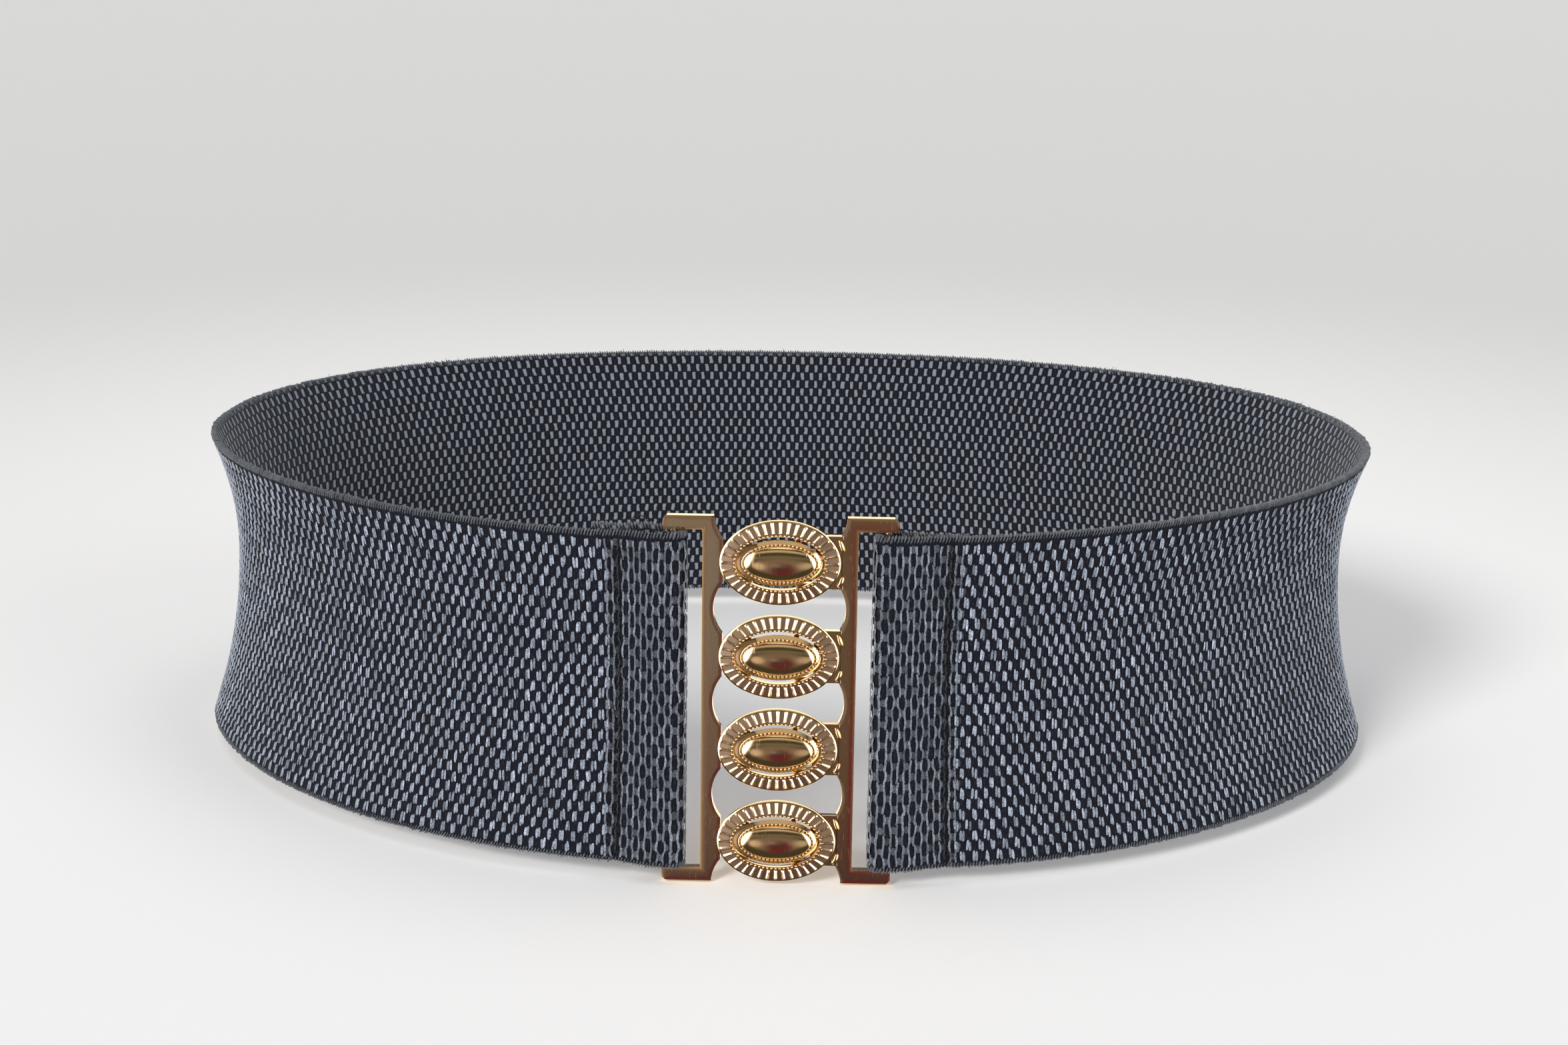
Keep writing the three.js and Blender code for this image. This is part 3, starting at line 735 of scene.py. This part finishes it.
dark_thread, tree, shader = new_material("dark_thread", 0.8)
in_space = add_node(tree, "ShaderNodeTexCoord").outputs["Object"]
strands = noise(tree, in_space, scale=3000.0)
thread_tone = mixed(tree, strands, (0.012, 0.012, 0.014, 1), (0.075, 0.078, 0.085, 1))
tree.links.new(thread_tone, shader.inputs["Base Color"])
add_relief(tree, shader, strands, strength=0.6, distance=0.0001)


def stitch_lines(seam_at):
    """The stitches of one seam, each a short thread that wanders a little and arches over the cloth."""
    lines = []
    at = -WEB_WIDTH / 2 + SEAM_ENDS[0]
    while at < WEB_WIDTH / 2 - SEAM_ENDS[1]:
        aside = rng.normal(0, STITCH_WANDER, 5)
        steps = np.linspace(0, 1, 5)
        rise = STITCH_LIFT[0] + STITCH_LIFT[1] * np.sin(steps * math.pi)
        lines.append([(seam_at + a, at + t * STITCH_LENGTH, h) for a, t, h in zip(aside, steps, rise)])
        at += STITCH_LENGTH + STITCH_GAP
    return lines


def seam_hair(seam_at):
    """One bent fibre near a seam, with both ends near the cloth."""
    along = seam_at + rng.normal(0, HAIR_FROM_SEAM)
    across = rng.uniform(-WEB_WIDTH / 2 + 1, WEB_WIDTH / 2 - 1)
    bearing = rng.uniform(0, 2 * math.pi)
    length = rng.uniform(*HAIR_LENGTHS)
    bend = rng.normal(0, HAIR_BEND)
    line = []
    for t in np.linspace(0, 1, HAIR_POINTS):
        heading = bearing + bend * t
        height = HAIR_LIFT + HAIR_LIFT * math.sin(t * math.pi) * rng.uniform(0.4, 1.0)
        line.append((along + length * t * math.cos(heading), across + length * t * math.sin(heading), height))
    return line


def edge_hair():
    """One fibre that stands up from the top selvage, most often near the folds."""
    near_right = rng.uniform(-EDGE_HAIRS_BEYOND, EDGE_HAIR_REACH)
    near_left = BAND - rng.uniform(-EDGE_HAIRS_BEYOND, EDGE_HAIR_REACH)
    anywhere = rng.uniform(EDGE_HAIR_REACH, BAND - EDGE_HAIR_REACH)
    along = rng.choice([near_right, near_left, anywhere], p=[0.3, 0.4, 0.3])
    lean = rng.normal(0, EDGE_HAIR_LEAN)
    tall = rng.uniform(*EDGE_HAIR_RISE)
    return [
        (along + lean * t, TOP_EDGE - 0.5 + (0.5 + tall) * t, rng.uniform(-0.4, 0.7))
        for t in (0, 0.4, 0.75, 1)
    ]


stitches = []
hairs = []
for seam_at in (SEAM_RIGHT, BAND - SEAM_LEFT):
    stitches += stitch_lines(seam_at)
    hairs += [seam_hair(seam_at) for _ in range(SEAM_HAIRS)]
hairs += [edge_hair() for _ in range(EDGE_HAIRS)]

stitching = lay_threads("seam_stitches", stitches, STITCH_RADIUS, 1)
stitching.data.materials.append(dark_thread)
loose_fibres = lay_threads("loose_fibres", hairs, HAIR_RADIUS, 0)
loose_fibres.data.materials.append(grey_yarn)
loop_line = []
for t in np.linspace(0, 1, LOOSE_POINTS):
    sway = LOOSE_SWAY * math.sin(2 * math.pi * t)
    along = BAND + FOLD_TURN + LOOSE_FROM_FOLD - LOOSE_WIDTH * t + sway
    across = TOP_EDGE - LOOSE_SUNK + LOOSE_TALL * math.sin(math.pi * t**0.8)
    loop_line.append((along, across, LOOSE_LIFT[0] + LOOSE_LIFT[1] * t))
loose_loop = lay_threads("loose_loop", [loop_line], LOOSE_RADIUS, 1)
loose_loop.data.materials.append(grey_yarn)

# The clasp's two frames: zinc castings in pale gold plate, each a narrow strip with a scalloped
# edge, two short arms, and a round bar inside the webbing's fold. They are drawn in millimetres in
# the clasp's own plane, X across and Z up, front towards -Y, and then set on the belt.
CLASP_HALF = 41.2
PLATE_FRONT = -1.0
PLATE_BACK = 1.0
SLOT_HALF = 38.15
SLOT_X = 16.7
ARM_X = 25.2
ARM_CORNER = 0.8
BAR_SEAT = 1.5
BAR_ROUND = 0.15
SCALLOPS = 5
LOBE_X = 12.3
LOBE_CROSS = 1.2
LOBE_HEIGHT = 9.5
SCALLOP_DEPTH = 2.0
SCALLOP_STEPS = 24
MEDALLION_PITCH = 20.9
MEDALLION_AT = [(i - 1.5) * MEDALLION_PITCH for i in range(4)]
BAR_RADIUS = 0.95
EDGE_ROUND = 0.52
CROWN_WIDTH = 0.85
CROWN_RISE = 0.09
SATIN_ROUGHNESS = 0.24
SATIN_SHADE = (0.62, 0.46, 0.36, 1)


def brushed_metal_group():
    """Polish, wear and dirt for plated metal: a shade, a roughness and a fine height."""
    group = bpy.data.node_groups.new("plate_wear", "ShaderNodeTree")
    face = group.interface
    for name in ("Roughness", "Wear", "Dirt"):
        face.new_socket(name, in_out="INPUT", socket_type="NodeSocketFloat")
    face.new_socket("Shade", in_out="OUTPUT", socket_type="NodeSocketColor")
    for name in ("Roughness", "Height"):
        face.new_socket(name, in_out="OUTPUT", socket_type="NodeSocketFloat")
    inside = add_node(group, "NodeGroupInput").outputs
    place = add_node(group, "ShaderNodeTexCoord").outputs["Object"]
    sharp = add_node(group, "ShaderNodeNewGeometry").outputs["Pointiness"]
    edge = ramp(group, sharp, 0.52, 0.60)
    crease = ramp(group, sharp, 0.48, 0.40)
    cloud = noise(group, place, scale=260.0, detail=4.0)
    fine = noise(group, place, scale=2400.0)
    stretch = {"Scale": (5200, 500, 320), "Rotation": (0, 0.6, 0.2)}
    brushed = add_node(group, "ShaderNodeMapping", Vector=place, **stretch).outputs[0]
    scratch = noise(group, brushed, scale=1.0, detail=1.0)
    line = ramp(group, scratch, 0.68, 0.74)
    worn = sums(group, "MULTIPLY", edge, inside["Wear"])
    soiled = sums(group, "MULTIPLY", crease, inside["Dirt"])
    shade = mixed(group, soiled, (1, 1, 1, 1), (0.34, 0.24, 0.16, 1))
    shade = mixed(group, worn, shade, (1.0, 0.97, 0.90, 1))
    out = add_node(group, "NodeGroupOutput")
    group.links.new(shade, out.inputs["Shade"])
    rough = sums(group, "MULTIPLY_ADD", cloud, 0.10, inside["Roughness"])
    rough = sums(group, "MULTIPLY_ADD", line, 0.12, rough)
    group.links.new(sums(group, "MULTIPLY_ADD", soiled, 0.15, rough), out.inputs["Roughness"])
    group.links.new(sums(group, "MULTIPLY_ADD", line, -0.6, fine), out.inputs["Height"])
    return group


plate_wear = brushed_metal_group()


def gold_finish(name, colour, roughness, wear, dirt):
    material, tree, shader = new_material(name, roughness, metallic=1.0)
    settings = {"node_tree": plate_wear}
    finish = add_node(tree, "ShaderNodeGroup", settings, Roughness=roughness, Wear=wear, Dirt=dirt).outputs
    tinted = mixed(tree, 1.0, (*colour, 1), finish["Shade"], "MULTIPLY")
    satin = add_node(tree, "ShaderNodeAttribute", {"attribute_name": "satin"}).outputs["Fac"]
    tree.links.new(mixed(tree, satin, tinted, SATIN_SHADE), shader.inputs["Base Color"])
    rough = sums(tree, "MULTIPLY_ADD", satin, SATIN_ROUGHNESS, finish["Roughness"])
    tree.links.new(rough, shader.inputs["Roughness"])
    add_relief(tree, shader, finish["Height"], strength=0.25, distance=0.00002)
    return material


frame_gold = gold_finish("frame_gold", (0.92, 0.70, 0.43), 0.06, 0.5, 0.5)


def outline_slab(name, outline, front, back):
    """A slab from an outline of X and Z: a filled ring of that many points, moved and extruded."""
    deselect()
    bpy.ops.mesh.primitive_circle_add(vertices=len(outline), radius=10, fill_type="NGON")
    slab = bpy.context.object
    slab.name = name
    move_vertices(slab, [(x, front, z) for x, z in outline])
    bpy.ops.object.mode_set(mode="EDIT")
    bpy.ops.mesh.select_all(action="SELECT")
    bpy.ops.mesh.extrude_region_move(TRANSFORM_OT_translate={"value": (0, back - front, 0)})
    bpy.ops.mesh.select_all(action="SELECT")
    bpy.ops.mesh.normals_make_consistent(inside=False)
    bpy.ops.object.mode_set(mode="OBJECT")
    return slab


FACES_FRONT = -0.9
SMOOTH_BELOW = 40


def raise_crown(plate):
    """Insets the plate's front face and lifts it a little, so that its borders slope."""
    bpy.ops.object.mode_set(mode="EDIT")
    bpy.ops.mesh.select_mode(type="FACE")
    bpy.ops.mesh.select_all(action="DESELECT")
    bpy.ops.object.mode_set(mode="OBJECT")
    for face in plate.data.polygons:
        face.select = face.normal.y < FACES_FRONT
    bpy.ops.object.mode_set(mode="EDIT")
    bpy.ops.mesh.inset(thickness=CROWN_WIDTH, depth=CROWN_RISE)
    bpy.ops.object.mode_set(mode="OBJECT")


def block(name, x, y, z):
    deselect()
    middle = [(low + high) / 2 for low, high in (x, y, z)]
    size = [high - low for low, high in (x, y, z)]
    bpy.ops.mesh.primitive_cube_add(size=1, location=middle, scale=size)
    settle()
    bpy.context.object.name = name
    return bpy.context.object


def round_edges(piece, radius, segments=3):
    apply_modifier(piece, "BEVEL", width=radius, segments=segments, limit_method="ANGLE", harden_normals=True)
    select_only(piece)
    bpy.ops.object.shade_smooth_by_angle(angle=math.radians(SMOOTH_BELOW))
    apply_modifier(piece, "WEIGHTED_NORMAL", keep_sharp=True)


def set_on_belt(piece):
    lean = Matrix.Translation((0, -INNER_HALF_DEPTH / 1000, 0)) @ Matrix.Rotation(-SLANT, 4, "X")
    piece.data.transform(lean @ Matrix.Scale(0.001, 4))
    piece.data.update()


def frame_pieces(side):
    half_chord = (MEDALLION_PITCH - LOBE_HEIGHT) / 2
    radius = (half_chord**2 + SCALLOP_DEPTH**2) / (2 * SCALLOP_DEPTH)
    centre_x = LOBE_X + SCALLOP_DEPTH - radius
    outline = [(ARM_X, -CLASP_HALF + ARM_CORNER), (ARM_X - ARM_CORNER, -CLASP_HALF)]
    for i in range(SCALLOPS):
        centre_z = (i - SCALLOPS // 2) * MEDALLION_PITCH
        low = max(centre_z - half_chord, -CLASP_HALF) - centre_z
        high = min(centre_z + half_chord, CLASP_HALF) - centre_z
        for angle in np.linspace(math.asin(low / radius), math.asin(high / radius), SCALLOP_STEPS + 1):
            outline.append((centre_x + radius * math.cos(angle), centre_z + radius * math.sin(angle)))
    outline += [(ARM_X - ARM_CORNER, CLASP_HALF), (ARM_X, CLASP_HALF - ARM_CORNER), (ARM_X, SLOT_HALF)]
    outline += [(SLOT_X, SLOT_HALF), (SLOT_X, -SLOT_HALF), (ARM_X, -SLOT_HALF)]
    plate = outline_slab("frame", [(x * side, z) for x, z in outline], PLATE_FRONT + CROWN_RISE, PLATE_BACK)
    raise_crown(plate)
    round_edges(plate, EDGE_ROUND, 1)
    deselect()
    bar_length = 2 * (SLOT_HALF + BAR_SEAT)
    bpy.ops.mesh.primitive_cylinder_add(
        vertices=32, radius=BAR_RADIUS, depth=bar_length, location=(side * BAR_X, 0, 0)
    )
    bar = bpy.context.object
    settle()
    round_edges(bar, BAR_ROUND, 1)
    return [plate, bar]


hook_pieces = frame_pieces(-1)
catch_pieces = frame_pieces(1)

# The catch half's four loops stick out from its lobes and lie behind the medallions. Each is a flat
# cast staple with an end bar and a slot that takes the hook, and two small nubs where it leaves its lobe.
LOOP_HEIGHT = 11.7
LOOP_WALL = 1.3
LOOP_END = 3.1
LOOP_THICKNESS = 1.6
LOOP_SLOT = 3.0
LOOP_CORNER = 1.6
LOOP_ROUND = 0.4
CUTTER_REACH = 3
LOOP_NUBS = [
    {"x": 13.1, "z": 3.7, "half": (0.55, 0.75, 1.45), "lean": -22},
    {"x": 13.0, "z": -4.2, "half": (0.60, 0.75, 1.35), "lean": 24},
]

for at in MEDALLION_AT:
    half = LOOP_HEIGHT / 2
    root = LOBE_X + LOBE_CROSS
    corner = [
        (LOOP_END + LOOP_CORNER * (1 - math.cos(a)), half - LOOP_CORNER * (1 - math.sin(a)))
        for a in np.linspace(0, math.pi / 2, 7)
    ]
    upper = corner + [(root, half)]
    outline = [(x, at + z) for x, z in upper] + [(x, at - z) for x, z in reversed(upper)]
    loop = outline_slab("loop", outline, PLATE_FRONT, PLATE_FRONT + LOOP_THICKNESS)
    slot_start = LOOP_END + LOOP_WALL
    slot_z = half - LOOP_WALL
    through = (-CUTTER_REACH, CUTTER_REACH)
    slot = block("slot", (slot_start, slot_start + LOOP_SLOT), through, (at - slot_z, at + slot_z))
    apply_modifier(loop, "BOOLEAN", object=slot, operation="DIFFERENCE", solver="EXACT")
    bpy.data.objects.remove(slot)
    round_edges(loop, LOOP_ROUND)
    catch_pieces.append(loop)
    for nub in LOOP_NUBS:
        deselect()
        bpy.ops.mesh.primitive_uv_sphere_add(
            segments=20, ring_count=12, radius=1, location=(nub["x"], PLATE_FRONT, at + nub["z"]),
            scale=nub["half"], rotation=(0, math.radians(nub["lean"]), 0)
        )
        settle()
        bpy.ops.object.shade_smooth()
        catch_pieces.append(bpy.context.object)

catch_half = join(catch_pieces, "catch_half_dressed")
catch_half.data.materials.clear()
catch_half.data.materials.append(frame_gold)
set_on_belt(catch_half)
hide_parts("catch_half")
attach(catch_half, "root")

# The medallions of the hook half: each an oval ring of radial flutes round a polished domed centre,
# with rows of tiny beads along the channel between them. All four are cast alike, in one column.
MEDALLION_HALF = (13.0, 9.3)
MEDALLION_BACK = -1.3
FLUTES = 36
# Where points lie across one flute, as shares of it, and whether each is on the ridge.
FLUTE_PHASES = (-0.02, 0.02, 0.215, 0.36, 0.50, 0.64, 0.785)
FLUTE_CRESTS = (1, 1, 0, 0, 0, 0, 0)
RIDGE_HEIGHT = 0.29
RIM_MIDDLE = 1.6
# The ring's section from its back outer corner, over the front, to the back inner corner: how far in
# each point is, how far forward, and its share of the ridges' height.
RIM_INSET = (
    0, 0, 0.06, 0.22, 0.42, 0.46, 0.62, 0.90, 1.20, 1.50, 1.80, 2.10, 2.40, 2.62, 2.78, 2.95, 3.20, 3.38,
    3.46, 3.5, 3.5, 1.8
)
RIM_RISE = (
    0, 0.50, 0.72, 0.86, 0.92, 0.93, 0.96, 1.02, 1.08, 1.14, 1.20, 1.26, 1.32, 1.36, 1.38, 1.40, 1.46, 1.42,
    1.30, 1.05, 0, 0
)
RIM_RIDGE = (0, 0, 0, 0, 0.05, 0.45, 0.95, 1, 1, 1, 1, 1, 0.95, 0.8, 0.4, 0, 0, 0, 0, 0, 0, 0)
SATIN_ABOVE = 0.3
RIM_SMOOTH_BELOW = 28
DOME_HALF = (8.3, 4.35)
DOME_RISE = 3.1
DOME_SIDES = 96
DOME_RINGS = 40
BEZEL_RISE = 1.4
BEZEL_WIDTH = 0.5
BEZEL_ROUND = 0.18
FLANGE_WIDTH = 0.75
FLANGE_LEFT_WIDTH = 1.45
FLANGE_LEFT_SPREAD = 1.1
FLANGE_RISE = (0.80, 1.32)
FLANGE_TOP_INSET = 0.1
FLANGE_ROUND = 0.1
BEAD_RADIUS = 0.24
BEAD_PITCH = 0.9
BEAD_SUNK = 0.3
BEAD_SMOOTH_BELOW = 60
CHANNEL_INSET = 3.2
CHANNEL_BEADS_FRONT = 1.5
DOME_BEADS_INSET = 0.22
OVAL_STEPS = 3600


def round_oval(half_width, half_height, shares):
    """Angles at the given shares of an oval's way round, and the length of that way."""
    fine = np.linspace(0, 2 * math.pi, OVAL_STEPS + 1)
    steps = np.hypot(np.diff(half_width * np.cos(fine)), np.diff(half_height * np.sin(fine)))
    lengths = np.concatenate([[0], np.cumsum(steps)])
    return np.interp(shares % 1 * lengths[-1], lengths, fine), lengths[-1]


def fluted_rim():
    shares = ((np.arange(FLUTES)[:, None] + np.array(FLUTE_PHASES)) / FLUTES).ravel()
    deselect()
    bpy.ops.mesh.primitive_torus_add(
        major_segments=len(shares), minor_segments=len(RIM_INSET), major_radius=10, minor_radius=1.5
    )
    rim = bpy.context.object
    angles, _ = round_oval(MEDALLION_HALF[0] - RIM_MIDDLE, MEDALLION_HALF[1] - RIM_MIDDLE, shares)
    inset, rise, ridge = (np.array(column, float)[None] for column in (RIM_INSET, RIM_RISE, RIM_RIDGE))
    crest = np.tile(np.array(FLUTE_CRESTS, float), FLUTES)[:, None]
    height = rise + ridge * RIDGE_HEIGHT * crest
    x = (MEDALLION_HALF[0] - inset) * np.cos(angles)[:, None]
    z = (MEDALLION_HALF[1] - inset) * np.sin(angles)[:, None]
    move_vertices(rim, np.stack([x, MEDALLION_BACK - height, z], axis=-1).reshape(-1, 3))
    give_values(rim, "satin", (1 - crest) * (ridge > SATIN_ABOVE))
    return rim


def beads(half_width, half_height, front):
    """A row of half-round beads along an oval, modelled once and put at even steps."""
    _, way_round = round_oval(half_width, half_height, np.zeros(1))
    count = round(way_round / BEAD_PITCH)
    angles, _ = round_oval(half_width, half_height, np.arange(count) / count)
    deselect()
    bpy.ops.mesh.primitive_uv_sphere_add(
        segments=8, ring_count=6, radius=BEAD_RADIUS, rotation=(math.pi / 2, 0, 0)
    )
    settle()
    cut_away(plane_co=(0, BEAD_SUNK * BEAD_RADIUS, 0), plane_no=(0, 1, 0), clear_outer=True)
    row = bpy.context.object
    each = len(row.data.vertices)
    repeat(row, count, (0, 0, 0))
    places = vertex_places(row).reshape(count, each, 3)
    places[..., 0] += (half_width * np.cos(angles))[:, None]
    places[..., 1] += front
    places[..., 2] += (half_height * np.sin(angles))[:, None]
    move_vertices(row, places.reshape(-1, 3))
    return row


def domed_centre():
    """The polished dome, the bezel round it, and its sloping flange, which is wider at the left."""
    deselect()
    bpy.ops.mesh.primitive_uv_sphere_add(
        segments=DOME_SIDES, ring_count=DOME_RINGS, radius=1, rotation=(math.pi / 2, 0, 0)
    )
    dome = bpy.context.object
    inner = [half - BEZEL_WIDTH for half in DOME_HALF]
    dome.scale = (inner[0], inner[1], DOME_RISE - BEZEL_RISE)
    settle()
    cut_away(plane_co=(0, 0, 0), plane_no=(0, 1, 0), clear_outer=True)
    dome.data.transform(Matrix.Translation((0, MEDALLION_BACK - BEZEL_RISE, 0)))
    deselect()
    bpy.ops.mesh.primitive_cylinder_add(
        vertices=DOME_SIDES, radius=1, depth=BEZEL_RISE, rotation=(math.pi / 2, 0, 0)
    )
    bezel = bpy.context.object
    bezel.scale = (DOME_HALF[0], DOME_HALF[1], 1)
    settle()
    bezel.data.transform(Matrix.Translation((0, MEDALLION_BACK - BEZEL_RISE / 2, 0)))
    flange_depth = FLANGE_RISE[1] - FLANGE_RISE[0]
    deselect()
    bpy.ops.mesh.primitive_cylinder_add(
        vertices=DOME_SIDES, radius=1, depth=flange_depth, rotation=(math.pi / 2, 0, 0)
    )
    flange = bpy.context.object
    flange.scale = (DOME_HALF[0], DOME_HALF[1], 1)
    settle()
    places = vertex_places(flange)
    around = np.arctan2(places[:, 2] / DOME_HALF[1], places[:, 0] / DOME_HALF[0])
    to_left = np.clip((np.abs(around) - math.pi + FLANGE_LEFT_SPREAD) / FLANGE_LEFT_SPREAD, 0, 1)
    wide = FLANGE_WIDTH + (FLANGE_LEFT_WIDTH - FLANGE_WIDTH) * np.sin(to_left * math.pi / 2)
    spread = np.where(places[:, 1] > 0, wide, -FLANGE_TOP_INSET)
    places[:, 0] += spread * np.cos(around)
    places[:, 2] += spread * np.sin(around)
    places[:, 1] += MEDALLION_BACK - (FLANGE_RISE[0] + FLANGE_RISE[1]) / 2
    move_vertices(flange, places)
    round_edges(flange, FLANGE_ROUND, 2)
    round_edges(bezel, BEZEL_ROUND, 2)
    return [dome, bezel, flange]


# What holds each medallion: a tongue of the frame under the dome's left end, a bridge from the dome to
# the rim at its right, and the hook on the back, a stem with a foot that goes through the loop.
TONGUE_HALF = LOBE_HEIGHT / 2
TONGUE_END = 5.8
TONGUE_INSET = 0.6
BRIDGE = {"x": (8.0, 9.8), "height": 2.4, "thickness": 0.8}
HOOK = {"stem": (4.7, 7.1), "height": 3.2, "foot_x": 1.5, "foot_y": (0.9, 2.1)}
WELD = 0.3
SMALL_ROUND = 0.25

rim_gold = gold_finish("medallion_gold", (0.93, 0.71, 0.44), 0.08, 0.6, 0.9)


def smooth_cast(piece, angle):
    """Turns the faces outward and smooths the edges that are flatter than the angle."""
    select_only(piece)
    bpy.ops.object.mode_set(mode="EDIT")
    bpy.ops.mesh.select_all(action="SELECT")
    bpy.ops.mesh.normals_make_consistent(inside=False)
    bpy.ops.object.mode_set(mode="OBJECT")
    bpy.ops.object.shade_smooth_by_angle(angle=math.radians(angle))


def medallion_holders():
    long_half, high_half = [half - TONGUE_INSET for half in MEDALLION_HALF]
    reach = math.asin(TONGUE_HALF / high_half)
    outline = [(-long_half * math.cos(a), high_half * math.sin(a)) for a in np.linspace(reach, -reach, 15)]
    outline += [(-TONGUE_END, -TONGUE_HALF), (-TONGUE_END, TONGUE_HALF)]
    tongue = outline_slab("tongue", outline, MEDALLION_BACK - WELD, PLATE_BACK)
    half = BRIDGE["height"] / 2
    bridge_front = MEDALLION_BACK - BRIDGE["thickness"]
    bridge = block("bridge", BRIDGE["x"], (bridge_front, MEDALLION_BACK), (-half, half))
    half = HOOK["height"] / 2
    stem = block("stem", HOOK["stem"], (MEDALLION_BACK - WELD, HOOK["foot_y"][1]), (-half, half))
    foot = block("foot", (HOOK["foot_x"], HOOK["stem"][1]), HOOK["foot_y"], (-half, half))
    holders = [tongue, bridge, stem, foot]
    for holder in holders:
        round_edges(holder, SMALL_ROUND)
    return holders


for at in MEDALLION_AT:
    rim = fluted_rim()
    smooth_cast(rim, RIM_SMOOTH_BELOW)
    channel_half = [half - CHANNEL_INSET for half in MEDALLION_HALF]
    channel_beads = beads(*channel_half, MEDALLION_BACK - CHANNEL_BEADS_FRONT)
    bezel_half = [half - DOME_BEADS_INSET for half in DOME_HALF]
    bezel_beads = beads(*bezel_half, MEDALLION_BACK - BEZEL_RISE)
    for row in (channel_beads, bezel_beads):
        smooth_cast(row, BEAD_SMOOTH_BELOW)
    centre = domed_centre()
    select_only(centre[0])
    bpy.ops.object.shade_smooth()
    made = [rim, channel_beads, bezel_beads, *centre, *medallion_holders()]
    for piece in made:
        piece.data.transform(Matrix.Translation((0, 0, at)))
    hook_pieces += made

hook_half = join(hook_pieces, "hook_half_dressed")
hook_half.data.materials.clear()
hook_half.data.materials.append(rim_gold)
set_on_belt(hook_half)
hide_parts("hook_half")
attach(hook_half, "root")
